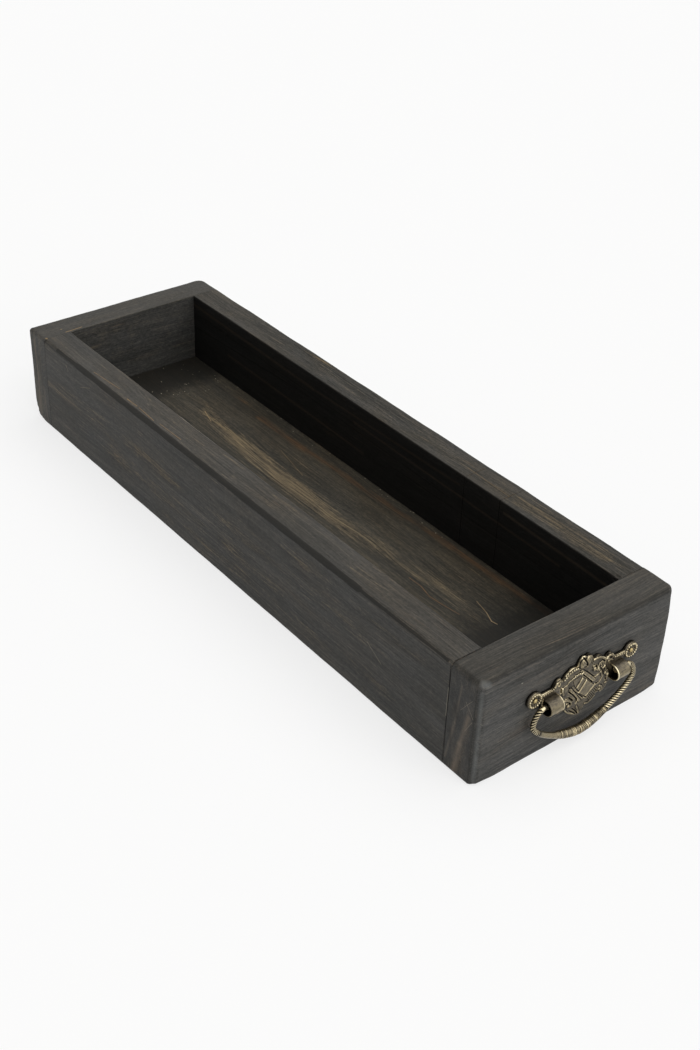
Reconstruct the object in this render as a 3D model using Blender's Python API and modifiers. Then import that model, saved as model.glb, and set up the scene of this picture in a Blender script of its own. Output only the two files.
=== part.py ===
# A narrow wooden tray with a cast bail handle on each end board.
# X runs along the tray, Y across it and Z up from the surface it stands on, in metres.
# The origin is the middle of the tray's underside. The right end is the one at +X.
import math

import bmesh
import bpy
from mathutils import Matrix, Vector

# Boards
TRAY_LENGTH = 0.420
TRAY_WIDTH = 0.127
BOARD_HEIGHT = 0.062
END_THICKNESS = 0.0205
SIDE_THICKNESS = 0.0185
BOTTOM_THICKNESS = 0.018
BACK_SHORT_LENGTH = 0.0855
BACK_INSERT_LENGTH = 0.028
JOINT_GAP = 0.0003

# Rounding of the boards' edges, sanded by hand
END_ROUNDING = 0.0035
CORNER_ROUNDING = 0.003
RIM_ROUNDING = 0.002
BASE_EASING = 0.001
INNER_EASING = 0.0006
ROUNDING_SEGMENTS = 3

# Blind dowels in the corner joints and in the ends of the bottom plank
CORNER_DOWEL_RADIUS = 0.004
CORNER_DOWEL_IN_END = 0.012
CORNER_DOWEL_IN_SIDE = 0.018
CORNER_DOWEL_HEIGHT_SHARES = (0.26, 0.74)
BOTTOM_DOWEL_RADIUS = 0.003
BOTTOM_DOWEL_IN_END = 0.010
BOTTOM_DOWEL_IN_PLANK = 0.016
BOTTOM_DOWEL_PLACE_SHARES = (-0.7, 0.7)
DOWEL_EASING = 0.0006
HOLE_CLEARANCE = 0.0003
HOLE_SPARE_DEPTH = 0.001
ROUND_SEGMENTS = 24

# Handle: its own frame has X out from the board's face, Y along the board and Z up,
# with the origin on the face, level with the middle of the hoods
HANDLE_HEIGHT = 0.0318
RIGHT_HANDLE_SHIFT = 0.0023
LEFT_HANDLE_SHIFT = 0.0
PLATE_HALF_WIDTH = 0.020
PLATE_HALF_HEIGHT = 0.018
PLATE_THICKNESS = 0.0022
PANEL_RISE = 0.0008
CREST_LOBE_RISE = 0.0012
PIN_SPACING = 0.064
PIN_RISE = 0.0062
ARM_HALF_HEIGHT = 0.0014
ROSETTE_RADIUS = 0.0045
ROSETTE_STEP = 0.0002
ROSETTE_THICKNESS = 0.0027
ROSETTE_RECESS_RADIUS = 0.0031
ROSETTE_RECESS_DEPTH = 0.0009
OUTLINE_RESOLUTION = 3
FLAT_ANGLE = math.radians(0.5)

# Hoods: open-ended arches that stand off the plate, each with a web that the bail's pin turns in
HOOD_OFFSET = 0.0041
HOOD_RADIUS = 0.0043
HOOD_WALL = 0.0009
HOOD_INNER_END = 0.018
HOOD_OUTER_END = 0.0264
HOOD_LIP = 0.0004
WEB_START = 0.0212
WEB_THICKNESS = 0.0016
HOOD_SEGMENTS = 14
CUT_OVERRUN = 0.001

# Bail, hanging in its own frame with the origin on its axis, its grip bowed out very little
BAIL_AXIS_RISE = 0.0007
BAIL_HALF_SPAN = 0.0337
BAIL_DROP = 0.0263
BAIL_SHOULDER_DROP = 0.0088
BAIL_SIDE_CLEARANCE = 0.0016
BAIL_BOW = 0.0003
BAIL_BOW_EXPONENT = 4
BAIL_ACROSS_EXPONENT = 1.64
BAIL_DROP_EXPONENT = 1.36
BAIL_PIN_RADIUS = 0.0014
BAIL_PIN_END = 0.0200
BAIL_ARM_RADIUS = 0.00145
BAIL_NECK_RADIUS = 0.0018
GRIP_HALF_LENGTH = 0.0168
GRIP_END_RADIUS = 0.0020
GRIP_MIDDLE_RADIUS = 0.0026
SHOULDER_STEPS = 6
SWEEP_STEPS = 20

# Stop lug on each of the bail's pins, which meets the plate when the bail hangs
LUG_REACH = 0.0023
LUG_THICKNESS = 0.0014
LUG_WIDTH = 0.0012

# Escutcheon pins
PIN_HEAD_RADIUS = 0.00125
PIN_HEAD_HEIGHT = 0.0009
PIN_SHANK_RADIUS = 0.0006
PIN_LENGTH = 0.014
PIN_POINT_LENGTH = 0.0015
PIN_HEAD_STEPS = 5

# Right half of the plate's outline from crest to foot, as shares of its half width and half height.
# The last value says whether the outline turns sharply there.
CREST_TO_ARM_SHARES = (
    (0.00, 0.945, True),
    (0.10, 1.00, False),
    (0.20, 0.92, False),
    (0.255, 0.75, True),
    (0.41, 0.78, False),
    (0.56, 0.71, False),
    (0.68, 0.60, False),
    (0.72, 0.545, True),
    (0.79, 0.64, False),
    (0.90, 0.63, False),
    (0.98, 0.53, False),
    (1.02, 0.42, True),
)
EAR_TO_FOOT_SHARES = (
    (1.02, -0.29, True),
    (0.90, -0.42, False),
    (0.82, -0.54, False),
    (0.74, -0.60, False),
    (0.65, -0.59, False),
    (0.56, -0.56, True),
    (0.50, -0.66, False),
    (0.38, -0.76, False),
    (0.26, -0.81, False),
    (0.165, -0.78, True),
    (0.10, -0.90, False),
    (0.00, -1.00, True),
)
PANEL_SHARES = (
    (0.00, 0.55),
    (0.20, 0.51),
    (0.50, 0.40),
    (0.68, 0.28),
    (0.60, -0.06),
    (0.50, -0.20),
    (0.15, -0.45),
    (0.00, -0.47),
)
CREST_LOBE_SHARES = (0.115, 0.80)
CREST_LOBE_SIZE_SHARES = (0.10, 0.17)

# Curve planes: a curve's X, Y and Z become the handle's Y, Z and X, or its X, Z and -Y
FACING = Matrix(((0, 0, 1), (1, 0, 0), (0, 1, 0))).to_4x4()
ACROSS = Matrix(((1, 0, 0), (0, 0, -1), (0, 1, 0))).to_4x4()

# Linear base colour, roughness and metallic value
FINISHES = {
    "stained_pine_side": ((0.030, 0.028, 0.027), 0.55, 0.0),
    "stained_pine_end": ((0.036, 0.033, 0.031), 0.55, 0.0),
    "stained_pine_bottom": ((0.046, 0.037, 0.029), 0.60, 0.0),
    "beech_dowel": ((0.45, 0.30, 0.17), 0.70, 0.0),
    "antique_bronze": ((0.21, 0.15, 0.075), 0.42, 0.9),
    "aged_brass_bail": ((0.26, 0.19, 0.095), 0.38, 0.9),
    "brass_pin": ((0.45, 0.31, 0.12), 0.30, 1.0),
}


def clear_scene():
    for obj in list(bpy.data.objects):
        bpy.data.objects.remove(obj, do_unlink=True)


def new_collection(name):
    collection = bpy.data.collections.new(name)
    bpy.context.scene.collection.children.link(collection)
    return collection


def finish_material(node_name, finish):
    colour, roughness, metallic = FINISHES[finish]
    material = bpy.data.materials.new(node_name + "_" + finish)
    material.use_nodes = True
    shader = material.node_tree.nodes["Principled BSDF"]
    shader.inputs["Base Color"].default_value = (*colour, 1.0)
    shader.inputs["Roughness"].default_value = roughness
    shader.inputs["Metallic"].default_value = metallic
    return material


def add_object(name, mesh, finish, collection, parent=None):
    obj = bpy.data.objects.new(name, mesh)
    mesh.materials.append(finish_material(name, finish))
    collection.objects.link(obj)
    obj.parent = parent
    return obj


def add_cutter(name, mesh, cutters, parent=None):
    """A shape that only joins or cuts another: it isn't a piece of the tray."""
    obj = bpy.data.objects.new(name, mesh)
    cutters.objects.link(obj)
    obj.parent = parent
    obj.hide_render = True
    obj.display_type = "WIRE"
    return obj


def combine(target, operation, cutter, solver="EXACT"):
    step = target.modifiers.new(cutter.name, "BOOLEAN")
    step.operation = operation
    step.solver = solver
    step.object = cutter


def mesh_from(name, bm):
    """A mesh whose faces all point out: the recalculation can settle on the inside of a thin concave plate."""
    bmesh.ops.recalc_face_normals(bm, faces=bm.faces)
    if bm.calc_volume(signed=True) < 0:
        bmesh.ops.reverse_faces(bm, faces=bm.faces)
    mesh = bpy.data.meshes.new(name)
    bm.to_mesh(mesh)
    bm.free()
    return mesh


def add_rod(bm, start, end, radius, segments=ROUND_SEGMENTS):
    start, end = Vector(start), Vector(end)
    along = end - start
    turn = along.to_track_quat("Z", "Y").to_matrix().to_4x4()
    place = Matrix.Translation((start + end) / 2) @ turn
    bmesh.ops.create_cone(
        bm, cap_ends=True, segments=segments, radius1=radius, radius2=radius, depth=along.length, matrix=place
    )


def smooth(mesh):
    mesh.shade_smooth()
    mesh.set_sharp_from_angle(angle=math.radians(35))


# Boards


def board(name, low, high, roundings, finish, collection):
    """A box between two corners; roundings gives the width rounded off the edge between two named faces."""
    low, high = Vector(low), Vector(high)
    size = high - low
    bm = bmesh.new()
    bmesh.ops.create_cube(bm, size=1.0, matrix=Matrix.Diagonal((*size, 1.0)))
    weights = bm.edges.layers.float.new("bevel_weight_edge")
    widest = max(roundings.values())
    for edge in bm.edges:
        middle = (edge.verts[0].co + edge.verts[1].co) / 2
        faces = frozenset(
            ("+" if place > 0 else "-") + axis
            for axis, place, extent in zip("xyz", middle, size)
            if abs(place) > extent / 4
        )
        edge[weights] = roundings.get(faces, 0.0) / widest
    obj = add_object(name, mesh_from(name, bm), finish, collection)
    obj.location = (low + high) / 2
    rounding = obj.modifiers.new("rounded_edges", "BEVEL")
    rounding.limit_method = "WEIGHT"
    rounding.width = widest
    rounding.segments = ROUNDING_SEGMENTS
    return obj


def edge_between(*faces):
    return frozenset(faces)


def side_roundings(outer):
    inner = "+y" if outer == "-y" else "-y"
    return {
        edge_between(outer, "+z"): RIM_ROUNDING,
        edge_between(outer, "-z"): BASE_EASING,
        edge_between(inner, "+z"): INNER_EASING,
    }


def end_roundings(outer):
    inner = "+x" if outer == "-x" else "-x"
    return {
        edge_between(outer, "+z"): END_ROUNDING,
        edge_between(outer, "-z"): END_ROUNDING,
        edge_between(outer, "-y"): CORNER_ROUNDING,
        edge_between(outer, "+y"): CORNER_ROUNDING,
        edge_between("-y", "+z"): RIM_ROUNDING,
        edge_between("+y", "+z"): RIM_ROUNDING,
        edge_between("-y", "-z"): BASE_EASING,
        edge_between("+y", "-z"): BASE_EASING,
        edge_between(inner, "+z"): INNER_EASING,
    }


def drill(obj, holes, cutters):
    """Cuts round holes, each given by its two ends and its radius."""
    name = obj.name + "_holes"
    bm = bmesh.new()
    for start, end, radius in holes:
        add_rod(bm, start, end, radius)
    combine(obj, "DIFFERENCE", add_cutter(name, mesh_from(name, bm), cutters))


def dowel(name, start, end, radius, tray):
    start, end = Vector(start), Vector(end)
    middle = (start + end) / 2
    bm = bmesh.new()
    add_rod(bm, start - middle, end - middle, radius)
    mesh = mesh_from(name, bm)
    smooth(mesh)
    obj = add_object(name, mesh, "beech_dowel", tray)
    obj.location = middle
    easing = obj.modifiers.new("eased_ends", "BEVEL")
    easing.limit_method = "ANGLE"
    easing.width = DOWEL_EASING
    easing.segments = 1


def build_boards(tray, cutters):
    half_length = TRAY_LENGTH / 2
    half_width = TRAY_WIDTH / 2
    inner_x = half_length - END_THICKNESS
    inner_y = half_width - SIDE_THICKNESS
    side_end = inner_x - JOINT_GAP
    half_gap = JOINT_GAP / 2
    near_seam = inner_x - BACK_SHORT_LENGTH
    far_seam = near_seam - BACK_INSERT_LENGTH

    front = board(
        "front_side_board",
        (-side_end, -half_width, 0),
        (side_end, -inner_y, BOARD_HEIGHT),
        side_roundings("-y"),
        "stained_pine_side",
        tray,
    )
    lengths = (
        ("back_side_board_long", -side_end, far_seam - half_gap),
        ("back_side_board_insert", far_seam + half_gap, near_seam - half_gap),
        ("back_side_board_short", near_seam + half_gap, side_end),
    )
    back = [
        board(
            name,
            (start, inner_y, 0),
            (end, half_width, BOARD_HEIGHT),
            side_roundings("+y"),
            "stained_pine_side",
            tray,
        )
        for name, start, end in lengths
    ]
    right = board(
        "right_end_board",
        (inner_x, -half_width, 0),
        (half_length, half_width, BOARD_HEIGHT),
        end_roundings("+x"),
        "stained_pine_end",
        tray,
    )
    left = board(
        "left_end_board",
        (-half_length, -half_width, 0),
        (-inner_x, half_width, BOARD_HEIGHT),
        end_roundings("-x"),
        "stained_pine_end",
        tray,
    )
    plank_end = inner_x - JOINT_GAP
    plank_side = inner_y - JOINT_GAP
    bottom = board(
        "bottom_board",
        (-plank_end, -plank_side, 0),
        (plank_end, plank_side, BOTTOM_THICKNESS),
        {edge_between("-y", "-z"): INNER_EASING, edge_between("+y", "-z"): INNER_EASING},
        "stained_pine_bottom",
        tray,
    )

    middle_y = half_width - SIDE_THICKNESS / 2
    heights = [share * BOARD_HEIGHT for share in CORNER_DOWEL_HEIGHT_SHARES]
    plank_y = [share * plank_side for share in BOTTOM_DOWEL_PLACE_SHARES]
    holes = {obj.name: [] for obj in (front, *back, right, left, bottom)}
    for end_board, end_name, way in ((right, "right", 1), (left, "left", -1)):
        for side, y in (("front", -middle_y), ("back", middle_y)):
            if side == "front":
                side_board = front
            else:
                side_board = back[2] if way > 0 else back[0]
            stem = side + "_" + end_name + "_corner_dowel_"
            lay_dowels(
                [(stem + level, y, z) for level, z in zip(("lower", "upper"), heights)],
                way,
                (CORNER_DOWEL_IN_SIDE, CORNER_DOWEL_IN_END, CORNER_DOWEL_RADIUS),
                (holes[side_board.name], holes[end_board.name]),
                tray,
            )
        stem = end_name + "_bottom_dowel_"
        lay_dowels(
            [(stem + side, y, BOTTOM_THICKNESS / 2) for side, y in zip(("front", "back"), plank_y)],
            way,
            (BOTTOM_DOWEL_IN_PLANK, BOTTOM_DOWEL_IN_END, BOTTOM_DOWEL_RADIUS),
            (holes[bottom.name], holes[end_board.name]),
            tray,
        )
    for way, end_board in ((1, right), (-1, left)):
        shift = RIGHT_HANDLE_SHIFT if way > 0 else LEFT_HANDLE_SHIFT
        depth = PIN_LENGTH - pin_seat() + HOLE_SPARE_DEPTH
        for side in (-1, 1):
            y = shift + side * PIN_SPACING / 2
            z = HANDLE_HEIGHT + PIN_RISE
            outside = (way * (half_length + CUT_OVERRUN), y, z)
            inside = (way * (half_length - depth), y, z)
            holes[end_board.name].append((outside, inside, PIN_SHANK_RADIUS + HOLE_CLEARANCE))
    for obj in (front, *back, right, left, bottom):
        if holes[obj.name]:
            drill(obj, holes[obj.name], cutters)


def lay_dowels(places, way, sizes, holes, tray):
    """Dowels along X across the joint at one end, and the two holes that hold each of them."""
    in_side, in_end, radius = sizes
    side_holes, end_holes = holes
    joint = TRAY_LENGTH / 2 - END_THICKNESS - JOINT_GAP / 2
    inner = joint - in_side
    outer = joint + in_end
    bore = radius + HOLE_CLEARANCE
    for name, y, z in places:
        dowel(name, (way * inner, y, z), (way * outer, y, z), radius, tray)
        side_holes.append(
            ((way * (inner - HOLE_SPARE_DEPTH), y, z), (way * (joint + CUT_OVERRUN), y, z), bore)
        )
        end_holes.append(
            ((way * (joint - CUT_OVERRUN), y, z), (way * (outer + HOLE_SPARE_DEPTH), y, z), bore)
        )


# Handles


def pin_seat():
    """Height of the rosette's recessed floor above the board."""
    return ROSETTE_THICKNESS - ROSETTE_RECESS_DEPTH


def slab(points, low, high, plane):
    """A flat outline as a solid, from low to high along the plane's own axis.

    Each point has its two places and whether the outline turns sharply there.
    """
    curve = bpy.data.curves.new("outline", "CURVE")
    curve.dimensions = "2D"
    curve.fill_mode = "BOTH"
    curve.resolution_u = OUTLINE_RESOLUTION
    curve.extrude = (high - low) / 2
    spline = curve.splines.new("BEZIER")
    spline.bezier_points.add(len(points) - 1)
    spline.use_cyclic_u = True
    for point, (u, v, sharp) in zip(spline.bezier_points, points):
        point.co = (u, v, 0)
        point.handle_left_type = point.handle_right_type = "VECTOR" if sharp else "AUTO"
    obj = bpy.data.objects.new("outline", curve)
    bpy.context.scene.collection.objects.link(obj)
    bpy.context.view_layer.update()
    evaluated = obj.evaluated_get(bpy.context.evaluated_depsgraph_get())
    mesh = bpy.data.meshes.new_from_object(evaluated)
    bpy.data.objects.remove(obj, do_unlink=True)
    bm = bmesh.new()
    bm.from_mesh(mesh)
    bpy.data.meshes.remove(mesh)
    bmesh.ops.remove_doubles(bm, verts=bm.verts, dist=JOINT_GAP / 100)
    bmesh.ops.dissolve_limit(bm, angle_limit=FLAT_ANGLE, verts=bm.verts, edges=bm.edges)
    bm.transform(plane @ Matrix.Translation((0, 0, (low + high) / 2)))
    return bm


def join_bms(parts):
    whole = bmesh.new()
    for part in parts:
        mesh = bpy.data.meshes.new("part")
        part.to_mesh(mesh)
        part.free()
        whole.from_mesh(mesh)
        bpy.data.meshes.remove(mesh)
    return whole


def mirrored(half):
    """A whole outline from its right half, whose first and last points are on the middle line."""
    return list(half) + [(-u, v, sharp) for u, v, sharp in reversed(half[1:-1])]


def rosette_arc():
    """The rosette's rim, from the top of the arm round to its underside."""
    pin_y = PIN_SPACING / 2
    opening = math.asin(ARM_HALF_HEIGHT / ROSETTE_RADIUS)
    sweep = 2 * (math.pi - opening)
    angles = (math.pi - opening - sweep * step / ROUND_SEGMENTS for step in range(ROUND_SEGMENTS + 1))
    return [
        (pin_y + ROSETTE_RADIUS * math.cos(angle), PIN_RISE + ROSETTE_RADIUS * math.sin(angle), True)
        for angle in angles
    ]


def plate_outline():
    across, up = PLATE_HALF_WIDTH, PLATE_HALF_HEIGHT
    ear_y = HOOD_OUTER_END + HOOD_LIP
    ear_z = HOOD_RADIUS + HOOD_LIP
    arm_low = PIN_RISE - ARM_HALF_HEIGHT
    half = [(u * across, v * up, sharp) for u, v, sharp in CREST_TO_ARM_SHARES]
    half += rosette_arc()
    half += [(ear_y, max(arm_low, ear_z), True), (ear_y, -ear_z, True)]
    half += [(u * across, v * up, sharp) for u, v, sharp in EAR_TO_FOOT_SHARES]
    return mirrored(half)


def hood_outline(radius, back):
    """An arch open towards the board: a half circle on two straight legs."""
    arc = [
        (
            HOOD_OFFSET + radius * math.cos(angle),
            radius * math.sin(angle),
            True,
        )
        for angle in (math.pi * (step / HOOD_SEGMENTS - 1 / 2) for step in range(HOOD_SEGMENTS + 1))
    ]
    return [(back, -radius, True), *arc, (back, radius, True)]


def both_sides(make):
    """Joins what make(side) gives for the handle's left and right side."""
    return join_bms([make(-1), make(1)])


def across_slab(outline, near, far, side):
    low, high = sorted((-side * near, -side * far))
    return slab(outline, low, high, ACROSS)


def rod_bm(start, end, radius, segments=ROUND_SEGMENTS):
    bm = bmesh.new()
    add_rod(bm, start, end, radius, segments)
    return bm


def crest_lobes():
    share_y, share_z = CREST_LOBE_SHARES
    size_y, size_z = CREST_LOBE_SIZE_SHARES
    bm = bmesh.new()
    for side in (-1, 1):
        middle = (
            PLATE_THICKNESS - CREST_LOBE_RISE / 3,
            side * share_y * PLATE_HALF_WIDTH,
            share_z * PLATE_HALF_HEIGHT,
        )
        size = (CREST_LOBE_RISE, size_y * PLATE_HALF_WIDTH, size_z * PLATE_HALF_HEIGHT, 1.0)
        place = Matrix.Translation(middle) @ Matrix.Diagonal(size)
        bmesh.ops.create_uvsphere(bm, u_segments=12, v_segments=7, radius=1.0, matrix=place)
    return bm


def handle_plate(name, place, tray, cutters):
    """The cast plate with its rosettes and hoods, in the handle's own frame."""
    pin_y = PIN_SPACING / 2
    plate = slab(plate_outline(), JOINT_GAP, PLATE_THICKNESS, FACING)
    mesh = mesh_from(name, plate)
    obj = add_object(name, mesh, "antique_bronze", tray, place)

    hood_floor = PLATE_THICKNESS + JOINT_GAP
    inside = hood_outline(HOOD_RADIUS - HOOD_WALL, hood_floor)
    web_end = WEB_START + WEB_THICKNESS
    inner_start = HOOD_INNER_END - CUT_OVERRUN
    outer_end = HOOD_OUTER_END + CUT_OVERRUN
    bore = BAIL_PIN_RADIUS + HOLE_CLEARANCE
    front = ROSETTE_THICKNESS + CUT_OVERRUN

    def rosette(side):
        y = side * pin_y
        back = (PLATE_THICKNESS / 2, y, PIN_RISE)
        return rod_bm(back, (ROSETTE_THICKNESS, y, PIN_RISE), ROSETTE_RADIUS - ROSETTE_STEP)

    def hood(side):
        outline = hood_outline(HOOD_RADIUS, PLATE_THICKNESS / 2)
        return across_slab(outline, HOOD_INNER_END, HOOD_OUTER_END, side)

    def inner_hollow(side):
        return across_slab(inside, inner_start, WEB_START, side)

    def outer_hollow(side):
        return across_slab(inside, web_end, outer_end, side)

    def pin_bore(side):
        start = (HOOD_OFFSET, side * (WEB_START - CUT_OVERRUN), BAIL_AXIS_RISE)
        end = (HOOD_OFFSET, side * (web_end + CUT_OVERRUN), BAIL_AXIS_RISE)
        return rod_bm(start, end, bore)

    def recess(side):
        y = side * pin_y
        return rod_bm((pin_seat(), y, PIN_RISE), (front, y, PIN_RISE), ROSETTE_RECESS_RADIUS)

    def pin_hole(side):
        y = side * pin_y
        return rod_bm((-CUT_OVERRUN, y, PIN_RISE), (front, y, PIN_RISE), PIN_SHANK_RADIUS + HOLE_CLEARANCE)

    panel_half = [(u * PLATE_HALF_WIDTH, v * PLATE_HALF_HEIGHT, True) for u, v in PANEL_SHARES]
    panel = slab(mirrored(panel_half), PLATE_THICKNESS / 2, PLATE_THICKNESS + PANEL_RISE, FACING)
    steps = (
        ("UNION", "rosettes", both_sides(rosette)),
        ("UNION", "hoods", both_sides(hood)),
        ("UNION", "panel", panel),
        ("UNION", "crest_lobes", crest_lobes()),
        ("DIFFERENCE", "inner_hollows", both_sides(inner_hollow)),
        ("DIFFERENCE", "outer_hollows", both_sides(outer_hollow)),
        ("DIFFERENCE", "pin_bores", both_sides(pin_bore)),
        ("DIFFERENCE", "recesses", both_sides(recess)),
        ("DIFFERENCE", "pin_holes", both_sides(pin_hole)),
    )
    for operation, part, bm in steps:
        cutter = add_cutter(name + "_" + part, mesh_from(part, bm), cutters, place)
        combine(obj, operation, cutter, solver="MANIFOLD")  # EXACT leaves this outline open at some sizes


def bail_route():
    """Centre line from the left pin's end to the right one's, with the radius at each point."""
    corner_y = HOOD_OUTER_END + BAIL_SIDE_CLEARANCE
    half = [(BAIL_PIN_END, 0.0), ((BAIL_PIN_END + corner_y) / 2, 0.0)]
    for step in range(SHOULDER_STEPS):
        angle = math.pi / 2 * step / SHOULDER_STEPS
        y = corner_y + (BAIL_HALF_SPAN - corner_y) * math.sin(angle)
        drop = BAIL_SHOULDER_DROP * (1 - math.cos(angle))
        half.append((y, drop))
    for step in range(SWEEP_STEPS + 1):
        angle = math.pi / 2 * step / SWEEP_STEPS
        y = BAIL_HALF_SPAN * max(math.cos(angle), 0.0) ** (2 / BAIL_ACROSS_EXPONENT)
        sweep = math.sin(angle) ** (2 / BAIL_DROP_EXPONENT)
        half.append((y, BAIL_SHOULDER_DROP + (BAIL_DROP - BAIL_SHOULDER_DROP) * sweep))
    route = [(y, drop) for y, drop in half] + [(-y, drop) for y, drop in reversed(half[:-1])]
    return [(bail_point(y, drop), bail_radius(abs(y), drop)) for y, drop in route]


def bail_point(y, drop):
    return Vector((BAIL_BOW * (drop / BAIL_DROP) ** BAIL_BOW_EXPONENT, y, -drop))


def bail_radius(y, drop):
    if drop < BAIL_SHOULDER_DROP / 4:
        return BAIL_PIN_RADIUS
    if y <= GRIP_HALF_LENGTH:
        share = y / GRIP_HALF_LENGTH
        return GRIP_MIDDLE_RADIUS + (GRIP_END_RADIUS - GRIP_MIDDLE_RADIUS) * share**2
    share = (y - GRIP_HALF_LENGTH) / (BAIL_HALF_SPAN - GRIP_HALF_LENGTH)
    return BAIL_NECK_RADIUS + (BAIL_ARM_RADIUS - BAIL_NECK_RADIUS) * share


def lug_direction():
    """Way the stop lug points, so that its corner meets the hood's floor when the bail hangs."""
    corner = Vector((LUG_REACH, LUG_THICKNESS / 2))
    room = HOOD_OFFSET - PLATE_THICKNESS - 2 * JOINT_GAP
    angle = math.atan2(corner.y, corner.x) + math.acos(min(room / corner.length, 1.0))
    return Vector((-math.cos(angle), 0, -math.sin(angle)))


def stop_lugs():
    out = lug_direction()
    across = Vector((0, 1, 0))
    turn = Matrix((out, across, out.cross(across))).transposed().to_4x4()
    bm = bmesh.new()
    start = WEB_START + WEB_THICKNESS + JOINT_GAP
    for side in (-1, 1):
        middle = out * (LUG_REACH / 2) + across * side * (start + LUG_WIDTH / 2)
        size = Matrix.Diagonal((LUG_REACH, LUG_WIDTH, LUG_THICKNESS, 1.0))
        bmesh.ops.create_cube(bm, size=1.0, matrix=Matrix.Translation(middle) @ turn @ size)
    return bm


def handle_bail(name, place, tray, cutters):
    """The bail, whose parent is an empty on its axis."""
    axis = bpy.data.objects.new(name + "_axis", None)
    tray.objects.link(axis)
    axis.parent = place
    axis.location = (HOOD_OFFSET, 0, BAIL_AXIS_RISE)

    curve = bpy.data.curves.new(name, "CURVE")
    curve.dimensions = "3D"
    curve.bevel_depth = 1.0
    curve.bevel_resolution = 3
    curve.use_fill_caps = True
    route = bail_route()
    spline = curve.splines.new("POLY")
    spline.points.add(len(route) - 1)
    for point, (place_on_route, radius) in zip(spline.points, route):
        point.co = (*place_on_route, 1.0)
        point.radius = radius
    guide = bpy.data.objects.new(name + "_route", curve)
    tray.objects.link(guide)
    bpy.context.view_layer.update()
    evaluated = guide.evaluated_get(bpy.context.evaluated_depsgraph_get())
    tube = bpy.data.meshes.new_from_object(evaluated)
    bpy.data.objects.remove(guide, do_unlink=True)
    bm = bmesh.new()
    bm.from_mesh(tube)
    bpy.data.meshes.remove(tube)
    bmesh.ops.remove_doubles(bm, verts=bm.verts, dist=JOINT_GAP / 100)
    mesh = mesh_from(name, bm)
    smooth(mesh)
    obj = add_object(name, mesh, "aged_brass_bail", tray, axis)
    lugs = add_cutter(name + "_lugs", mesh_from(name + "_lugs", stop_lugs()), cutters, axis)
    combine(obj, "UNION", lugs)


def escutcheon_pin(name, place, side, tray):
    """A domed pin turned about its own Z, which points out of the board."""
    seat = pin_seat() + JOINT_GAP
    profile = [
        (
            PIN_HEAD_RADIUS * math.sin(math.pi / 2 * step / PIN_HEAD_STEPS),
            PIN_HEAD_HEIGHT * math.cos(math.pi / 2 * step / PIN_HEAD_STEPS),
        )
        for step in range(PIN_HEAD_STEPS + 1)
    ]
    profile += [
        (PIN_SHANK_RADIUS, 0.0),
        (PIN_SHANK_RADIUS, PIN_POINT_LENGTH - PIN_LENGTH),
        (0.0, -PIN_LENGTH),
    ]
    mesh = bpy.data.meshes.new(name)
    points = [(r, 0, z) for r, z in profile]
    mesh.from_pydata(points, [(index, index + 1) for index in range(len(points) - 1)], [])
    obj = add_object(name, mesh, "brass_pin", tray, place)
    obj.location = (seat, side * PIN_SPACING / 2, PIN_RISE)
    obj.rotation_euler = (0, math.pi / 2, 0)
    turn = obj.modifiers.new("turned", "SCREW")
    turn.axis = "Z"
    turn.steps = turn.render_steps = 16
    turn.use_merge_vertices = True
    turn.merge_threshold = JOINT_GAP / 100
    turn.use_normal_calculate = True


def build_handle(end_name, way, shift, tray, cutters):
    place = bpy.data.objects.new(end_name + "_handle_place", None)
    tray.objects.link(place)
    place.location = (way * TRAY_LENGTH / 2, shift, HANDLE_HEIGHT)
    place.rotation_euler = (0, 0, 0 if way > 0 else math.pi)
    handle_plate(end_name + "_handle_plate", place, tray, cutters)
    handle_bail(end_name + "_handle_bail", place, tray, cutters)
    for side, side_name in ((-1, "first"), (1, "second")):
        escutcheon_pin(end_name + "_handle_" + side_name + "_pin", place, side, tray)


def main():
    clear_scene()
    tray = new_collection("wooden_tray")
    cutters = new_collection("cutters")
    build_boards(tray, cutters)
    build_handle("right", 1, RIGHT_HANDLE_SHIFT, tray, cutters)
    build_handle("left", -1, LEFT_HANDLE_SHIFT, tray, cutters)
    bpy.context.view_layer.update()


main()
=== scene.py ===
import math
from functools import partial
from itertools import product

import bmesh
import bpy
import numpy as np
from mathutils import Matrix, Vector, kdtree
from mathutils.geometry import delaunay_2d_cdt


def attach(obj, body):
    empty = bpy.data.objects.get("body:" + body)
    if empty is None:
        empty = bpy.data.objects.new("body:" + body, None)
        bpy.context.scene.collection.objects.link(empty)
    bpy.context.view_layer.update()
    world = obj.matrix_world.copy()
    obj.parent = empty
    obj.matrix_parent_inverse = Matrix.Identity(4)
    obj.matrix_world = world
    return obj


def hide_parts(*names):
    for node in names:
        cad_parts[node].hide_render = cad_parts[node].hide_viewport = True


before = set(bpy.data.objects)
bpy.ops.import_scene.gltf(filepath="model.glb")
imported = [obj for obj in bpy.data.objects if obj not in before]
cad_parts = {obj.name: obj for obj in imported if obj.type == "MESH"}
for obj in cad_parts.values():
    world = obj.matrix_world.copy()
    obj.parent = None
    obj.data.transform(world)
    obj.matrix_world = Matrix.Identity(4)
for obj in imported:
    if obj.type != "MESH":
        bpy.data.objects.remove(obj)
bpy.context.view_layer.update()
mm = 0.001  # sizes below are written in millimetres
print("loaded", len(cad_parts), "nodes")


# Small helpers


def linear(hexColour):
    shares = [int(hexColour[i:i + 2], 16) / 255 for i in (1, 3, 5)]
    return (*(s / 12.92 if s <= 0.04045 else ((s + 0.055) / 1.055) ** 2.4 for s in shares), 1.0)


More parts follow.
